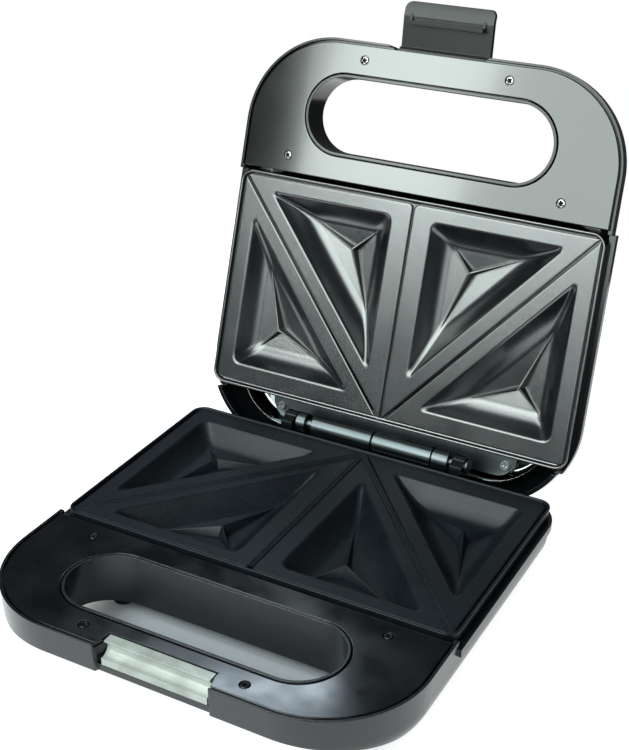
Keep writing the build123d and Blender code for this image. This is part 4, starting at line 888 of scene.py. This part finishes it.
    def add_frame(self, builder: MeshBuilder) -> None:
        """Adds the plate's rim: lip, groove and skirt, as a profile carried round it."""
        profile = np.array(
            [
                (5.6, 3.2), (2.3, 3.2), (1.5, 3.15), (1.2, 3.0), (1.0, 2.6), (0.9, 0.9), (0.75, 0.55), (0.5, 0.42),
                (0.0, 0.4), (-0.3, 0.45), (-0.45, 0.6), (-0.5, 0.8), (-0.5, 1.05), (0.0, 1.1), (0.0, self.skirt),
                (2.6, self.skirt), (2.6, 4.4), (5.6, 4.4),
            ]
        )
        half_width = self.width / 2
        rings = []
        for inset, _ in profile:
            low, high = self.start + inset, self.end - inset
            side = half_width - inset
            tips = [(-side, low), (side, low), (side, high), (-side, high)]
            rings.append(rounded_polygon(tips, [max(self.corner - inset, 1.2)] * 4, 20, 12))
        lines = np.stack(rings)
        grid = self.half.place(lines[..., 0], lines[..., 1], profile[:, 1][:, None])
        builder.add_grid(grid, close_rows=True, close_columns=True)

    def add_seams(self, builder: MeshBuilder) -> None:
        """Adds the strip in each seam: the floor of a groove, or a raised double ridge."""
        if self.seam is Seam.GROOVE:
            profile = np.array([(-1.6, 3.3), (-0.7, 3.15), (0.0, 3.1), (0.7, 3.15), (1.6, 3.3), (1.6, 3.8), (-1.6, 3.8)])
        else:
            profile = np.array(
                [
                    (-2.1, 1.7), (-1.85, 1.35), (-1.6, 0.95), (-1.25, 0.72), (-0.9, 0.68), (-0.5, 0.78), (-0.2, 1.05),
                    (0.2, 1.05), (0.5, 0.78), (0.9, 0.68), (1.25, 0.72), (1.6, 0.95), (1.85, 1.35), (2.1, 1.7),
                    (2.1, 3.0), (-2.1, 3.0),
                ]
            )
        begin = np.array([0.0, self.start + 3.4])
        edge = self.width / 2 - 3.0
        for finish in ((0.0, self.end - 3.0), (edge, self.end - 3.0), (-edge, self.end - 3.0)):
            heading = np.array(finish) - begin
            heading /= np.linalg.norm(heading)
            aside = np.array([-heading[1], heading[0]])
            share = np.linspace(0, 1, 24)[:, None]
            across = begin[0] + share * (finish[0] - begin[0]) + profile[:, 0] * aside[0]
            along = begin[1] + share * (finish[1] - begin[1]) + profile[:, 0] * aside[1]
            builder.add_grid(self.half.place(across, along, profile[:, 1]), close_columns=True)

    def build(self, paints: Paintbox) -> bpy.types.Object:
        """Makes the plate, and puts it in place of the plain one.

        Args:
            paints: the finishes.

        Returns:
            The plate.
        """
        builder = MeshBuilder()
        for side in (-1, 1):
            for by_handle in (True, False):
                self.add_tile(builder, side, by_handle)
                self.add_fin(builder, self.pocket(side, by_handle))
        self.add_frame(builder)
        self.add_seams(builder)
        node = f"{self.half.name.value}_cooking_plate"
        plate = builder.build(f"{self.half.name.value}_pocket_plate", 50.0)
        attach(plate, self.half.name.value)
        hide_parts(node)
        paints.dress(plate, NODE_FINISHES[node])
        LOG.info("%s made, %d faces", plate.name, len(plate.data.polygons))
        return plate


# ---------------------------------------------------------------- small pieces
@dataclass
class CoverScrews:
    """The four pan-head screws of a handle cover, with their cross recess.

    Sizes are in millimetres; places are across and along the half.

    Attributes:
        half: the half that they stand in.
        finish: their finish.
        shadowed: the dark finish inside the cross, painted shade in its recess.
        places: where they stand.
        top: depth of the seat that a head lies on, at its rim.
        radius: radius of a head.
        crown: how far the head's middle stands above its rim.
        height: height of the head.
        recess: depth of the cross.
        arm: half width of an arm of the cross at its top, and half its length.
        shank: radius and length below the head.
        turn: how far each cross is turned, in degrees.
    """

    half: Half
    finish: Finish
    shadowed: Finish
    places: Tuple[Point, ...]
    top: float = 1.4
    radius: float = 2.15
    crown: float = 0.32
    height: float = 1.7
    recess: float = 1.25
    arm: Tuple[float, float] = (0.50, 1.42)
    shank: Tuple[float, float] = (1.15, 7.0)
    turn: Tuple[float, ...] = (45.0, 20.0, 8.0, 38.0)

    def cross(self, x: np.ndarray, y: np.ndarray, turn: float) -> np.ndarray:
        """How deep the cross is at a place on the head, from 0 to 1.

        Each arm is step(a) * step(b), where step falls from 1 to 0 at the arm's half
        width or half length as 1 / (1 + exp((value - edge) / softness)).

        Args:
            x: distances across from the head's middle.
            y: distances along from it.
            turn: how far the cross is turned, in degrees.

        Returns:
            The larger of the two arms' values.
        """
        spin = math.radians(turn)
        a = np.abs(x * math.cos(spin) + y * math.sin(spin))
        b = np.abs(-x * math.sin(spin) + y * math.cos(spin))
        edges = np.array([[self.arm[0], self.arm[1]], [self.arm[1], self.arm[0]]])
        steps = 1 / (1 + np.exp(np.clip((np.stack([a, b])[None] - edges[..., None, None]) / 0.045, -40, 40)))
        return steps.prod(axis=1).max(axis=0)

    def darken(self, made: bpy.types.Object, paints: Paintbox) -> None:
        """Paints shade into the crosses: the faces inside them get the dark shadowed finish.

        Args:
            made: the screws.
            paints: the finishes.
        """
        centres = np.empty(len(made.data.polygons) * 3)
        made.data.polygons.foreach_get("center", centres)
        across, along, depth = self.half.measure(centres.reshape(-1, 3))
        inside = np.zeros(len(across), bool)
        for place, turn in zip(self.places, self.turn):
            x, y = across - place[0], along - place[1]
            near = (np.hypot(x, y) < self.radius) & (depth < self.top + self.recess)
            inside |= near & (self.cross(x[None], y[None], turn)[0] > 0.5)
        made.data.materials.append(paints.material(self.shadowed))
        made.data.polygons.foreach_set("material_index", inside.astype(np.int32))

    def head(self, place: Point, turn: float) -> np.ndarray:
        """One screw's surface, from the middle of its cross down round its head.

        The top is crown * (1 - (r / radius) ** 2) high. The cross takes from it a depth
        of recess times the larger of two smooth strips, each a product of a step in its
        own half width and a step in its half length.

        Args:
            place: where the screw stands.
            turn: how far its cross is turned, in degrees.

        Returns:
            A grid of points.
        """
        angle = np.linspace(0, 2 * np.pi, 96, endpoint=False)[None, :]
        ring = np.concatenate([np.linspace(0.0, 0.72, 26), np.array([0.80, 0.88, 0.94, 0.98, 1.0])])[:, None]
        flat = ring * self.radius
        x = flat * np.cos(angle)
        y = flat * np.sin(angle)
        cross = self.cross(x, y, turn) * (1 - 0.35 * ring / 0.65)
        share = np.clip((ring - 0.94) / 0.06, 0, 1)
        depth = self.top - self.crown * (1 - ring**2) + self.recess * np.clip(cross, 0, 1) + 0.14 * share**2
        side_radius = np.array([1.0, 0.97, self.shank[0] / self.radius, self.shank[0] / self.radius, 0.0])[:, None]
        side_depth = self.top + np.array([0.5, self.height, self.height, self.shank[1], self.shank[1] + 0.6])[:, None]
        across = np.concatenate([x, side_radius * self.radius * np.cos(angle)])
        along = np.concatenate([y, side_radius * self.radius * np.sin(angle)])
        down = np.concatenate([depth, side_depth + 0 * angle])
        return self.half.place(place[0] + across, place[1] + along, down)

    def build(self, node: str, paints: Paintbox) -> bpy.types.Object:
        """Makes the screws, and puts them in place of the plain ones.

        Args:
            node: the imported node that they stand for.
            paints: the finishes.

        Returns:
            The screws.
        """
        builder = MeshBuilder()
        for place, turn in zip(self.places, self.turn):
            builder.add_grid(self.head(place, turn), close_columns=True)
        made = builder.build(f"{node}_cross", 35.0)
        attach(made, self.half.name.value)
        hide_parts(node)
        paints.dress(made, self.finish)
        self.darken(made, paints)
        LOG.info("%s made", made.name)
        return made


# ---------------------------------------------------------------- studio
@dataclass(frozen=True)
class Softbox:
    """An area lamp.

    Attributes:
        name: the lamp's name.
        place: where it stands, in metres.
        aim: the point that it faces.
        size: its width and height.
        power: its power in watts.
        colour: its colour.
    """

    name: str
    place: Tuple[float, float, float]
    aim: Tuple[float, float, float]
    size: Tuple[float, float]
    power: float
    colour: Colour = (1.0, 1.0, 1.0)

    def build(self) -> bpy.types.Object:
        """Makes the lamp."""
        lamp = bpy.data.lights.new(self.name, "AREA")
        lamp.shape = "RECTANGLE"
        lamp.size, lamp.size_y = self.size
        lamp.energy = self.power
        lamp.color = self.colour
        made = bpy.data.objects.new(self.name, lamp)
        made.location = self.place
        made.rotation_euler = (Vector(self.aim) - Vector(self.place)).to_track_quat("-Z", "Y").to_euler()
        bpy.context.scene.collection.objects.link(made)
        return made


@dataclass
class Studio:
    """Floor, world, lamps and camera.

    Attributes:
        azimuth: the camera's turn from the front to the right, in degrees.
        elevation: its height above the horizon, in degrees.
        target: the point that it looks at, in metres.
        distance: how far it stands from that point.
        lens: its focal length for a 36 mm sensor.
        shift: its sideways and upright shift.
        shade: half width, half depth and middle of the shaded floor under the object.
        floor_glow: how strongly the floor round it shows as white.
        lamps: the lamps.
    """

    azimuth: float = 28.68
    elevation: float = 23.35
    target: Tuple[float, float, float] = (0.00072, 0.006109, 0.16389)
    distance: float = 0.7056
    lens: float = 68.1
    shift: Tuple[float, float] = (-0.01387, -0.13912)
    shade: Tuple[float, float, float] = (0.112, 0.105, -0.045)
    floor_glow: float = 0.95
    lamps: Tuple[Softbox, ...] = (
        Softbox("front_softbox", (-0.205, -1.286, 0.980), (0, 0.10, 0.13), (1.38, 1.12), 24.5, (0.90, 1.0, 0.975)),
        Softbox("edge_softbox", (-0.680, -1.270, 0.800), (0, 0.13, 0.2), (0.28, 0.66), 2.4, (0.90, 1.0, 0.975)),
        Softbox("high_softbox", (-0.55, -0.51, 1.39), (0, 0.09, 0.12), (0.90, 0.72), 8.5, (0.90, 1.0, 0.98)),
        Softbox("right_softbox", (0.80, -1.08, 0.50), (0, 0.09, 0.12), (0.70, 0.60), 3.2, (0.90, 0.98, 1.0)),
        Softbox("back_softbox", (-0.655, 0.863, 1.065), (0.05, -0.13, 0.035), (0.36, 0.06), 0.90, (0.74, 0.88, 1.0)),
    )

    def camera(self) -> bpy.types.Object:
        """Makes the camera at the photograph's viewing angle."""
        turn, rise = math.radians(self.azimuth), math.radians(self.elevation)
        back = Vector(
            (math.sin(turn) * math.cos(rise), -math.cos(turn) * math.cos(rise), math.sin(rise))
        )
        data = bpy.data.cameras.new("photo_camera")
        data.lens = self.lens
        data.sensor_width = 36.0
        data.shift_x, data.shift_y = self.shift
        made = bpy.data.objects.new("photo_camera", data)
        made.location = Vector(self.target) + back * self.distance
        made.rotation_euler = (-back).to_track_quat("-Z", "Y").to_euler()
        bpy.context.scene.collection.objects.link(made)
        bpy.context.scene.camera = made
        return made

    def shown(self, make: Nodes) -> bpy.types.NodeSocket:
        """A mask for rays that show the background itself: camera, glossy or transmission."""
        path = make.add("ShaderNodeLightPath")
        first = make.add("ShaderNodeMath", operation="MAXIMUM")
        second = make.add("ShaderNodeMath", operation="MAXIMUM")
        make.link(path.outputs["Is Camera Ray"], first.inputs[0])
        make.link(path.outputs["Is Glossy Ray"], first.inputs[1])
        make.link(first.outputs[0], second.inputs[0])
        make.link(path.outputs["Is Transmission Ray"], second.inputs[1])
        return second.outputs[0]

    def world(self) -> None:
        """Makes a white world that lights the object only softly."""
        world = bpy.data.worlds.new("studio_world")
        world.use_nodes = True
        bpy.context.scene.world = world
        make = Nodes(world.node_tree)
        back = next(n for n in world.node_tree.nodes if n.type == "BACKGROUND")
        colour = make.blend(self.shown(make), (0.30, 0.31, 0.32), (1.0, 1.0, 1.0))
        make.link(colour, back.inputs["Color"])

    def floor(self) -> bpy.types.Object:
        """Makes the pale floor under the feet.

        Its glow, which only shows it as white and lights nothing, fades out under the
        object, over a rectangle whose edge is soft: there the floor keeps its full shade.
        """
        mesh = bpy.data.meshes.new("floor")
        mesh.from_pydata([(-0.40, -0.28, 0), (0.40, -0.28, 0), (0.40, 0.42, 0), (-0.40, 0.42, 0)], [], [(0, 1, 2, 3)])
        made = bpy.data.objects.new("floor", mesh)
        bpy.context.scene.collection.objects.link(made)
        material = bpy.data.materials.new("pale_floor")
        material.use_nodes = True
        make = Nodes(material.node_tree)
        shader = next(n for n in material.node_tree.nodes if n.type == "BSDF_PRINCIPLED")
        shader.inputs["Base Color"].default_value = (0.54, 0.57, 0.60, 1)
        shader.inputs["Roughness"].default_value = 0.9
        shader.inputs["Specular IOR Level"].default_value = 0.1
        place = make.add("ShaderNodeTexCoord")
        apart = make.add("ShaderNodeSeparateXYZ")
        make.link(place.outputs["Object"], apart.inputs[0])
        outside = make.add("ShaderNodeMath", operation="MAXIMUM")
        for axis, middle, half in ((0, 0.0, self.shade[0]), (1, self.shade[2], self.shade[1])):
            shift = make.add("ShaderNodeMath", operation="SUBTRACT")
            shift.inputs[1].default_value = middle
            size = make.add("ShaderNodeMath", operation="ABSOLUTE")
            beyond = make.add("ShaderNodeMath", operation="SUBTRACT")
            beyond.inputs[1].default_value = half
            make.link(apart.outputs[axis], shift.inputs[0])
            make.link(shift.outputs[0], size.inputs[0])
            make.link(size.outputs[0], beyond.inputs[0])
            make.link(beyond.outputs[0], outside.inputs[axis])
        away = make.add("ShaderNodeMapRange", interpolation_type="SMOOTHSTEP")
        make.link(outside.outputs[0], away.inputs["Value"])
        away.inputs["From Min"].default_value = -0.05
        away.inputs["From Max"].default_value = 0.0
        away.inputs["To Max"].default_value = self.floor_glow
        glow = make.add("ShaderNodeMath", operation="MULTIPLY")
        make.link(away.outputs["Result"], glow.inputs[0])
        make.link(self.shown(make), glow.inputs[1])
        make.link(glow.outputs[0], shader.inputs["Emission Strength"])
        shader.inputs["Emission Color"].default_value = (1, 1, 1, 1)
        mesh.materials.append(material)
        return made

    def flags(self) -> bpy.types.Object:
        """Makes the dark cards round the object that keep glare off its black plastic.

        They are a part of a sphere, unseen by the camera: a point lies at radius times
        (sine of turn, -cosine of turn, sine of rise), from below the table's edge to
        over the top.
        """
        radius = 3.2
        turn = np.radians(np.linspace(-180, 180, 49))[None, :]
        rise = np.radians(np.linspace(-60, 88, 26))[:, None]
        points = radius * np.stack(
            [np.sin(turn) * np.cos(rise), -np.cos(turn) * np.cos(rise), np.sin(rise) + 0 * turn], axis=-1
        )
        builder = MeshBuilder()
        builder.add_grid(points)
        made = builder.build("dark_cards")
        material = bpy.data.materials.new("dark_card")
        material.use_nodes = True
        shader = next(n for n in material.node_tree.nodes if n.type == "BSDF_PRINCIPLED")
        shader.inputs["Base Color"].default_value = (0.04, 0.04, 0.045, 1)
        shader.inputs["Roughness"].default_value = 0.95
        shader.inputs["Emission Color"].default_value = (0.9, 0.96, 1.0, 1)
        shader.inputs["Emission Strength"].default_value = 0.05
        made.data.materials.append(material)
        made.visible_camera = False
        made.visible_transmission = False
        made.visible_shadow = False
        return made

    def build(self) -> None:
        """Makes the whole studio."""
        self.camera()
        self.world()
        self.floor()
        self.flags()
        for lamp in self.lamps:
            lamp.build()
        bpy.context.scene.view_settings.view_transform = "Standard"
        LOG.info("studio made with %d lamps", len(self.lamps))


# ---------------------------------------------------------------- toaster
@dataclass
class Toaster:
    """The whole dressed toaster.

    Attributes:
        paints: the finishes.
    """

    frame: Dict[str, object]
    paints: Paintbox = field(default_factory=Paintbox)

    def half(self, name: HalfName) -> Half:
        """One half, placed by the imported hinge."""
        joint = next(j for j in self.frame["joints"] if j["child"] == "lid")
        opening = 0.0 if name is HalfName.BASE else float(joint["range_deg"][1])
        return Half(name, tuple(joint["pos_m"]), opening)

    def dress_nodes(self) -> None:
        """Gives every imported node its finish."""
        for node, piece in self.frame["nodes"].items():
            self.paints.dress(piece, NODE_FINISHES[node])
            LOG.info("%s dressed", node)

    def build(self) -> None:
        """Dresses the nodes and adds the shaped pieces."""
        self.dress_nodes()
        CookingPlate(self.half(HalfName.BASE), Seam.RIDGE, fin_slope=0.42).build(self.paints)
        CookingPlate(self.half(HalfName.LID), Seam.GROOVE).build(self.paints)
        for name, finish in ((HalfName.BASE, DARK_SCREW), (HalfName.LID, BRIGHT_SCREW)):
            # The faces inside each cross take a near-black finish, as painted shade in the recess.
            screws = CoverScrews(self.half(name), finish, PAINTED_RECESS_SHADE, COVER_SCREW_PLACES)
            screws.build(f"{name.value}_cover_screws", self.paints)


def main() -> None:
    """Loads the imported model, dresses it and sets the studio up."""
    logging.basicConfig(level=logging.INFO, format="%(name)s: %(message)s")
    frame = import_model()
    Toaster(frame).build()
    Studio().build()


if __name__ == "__main__":
    main()
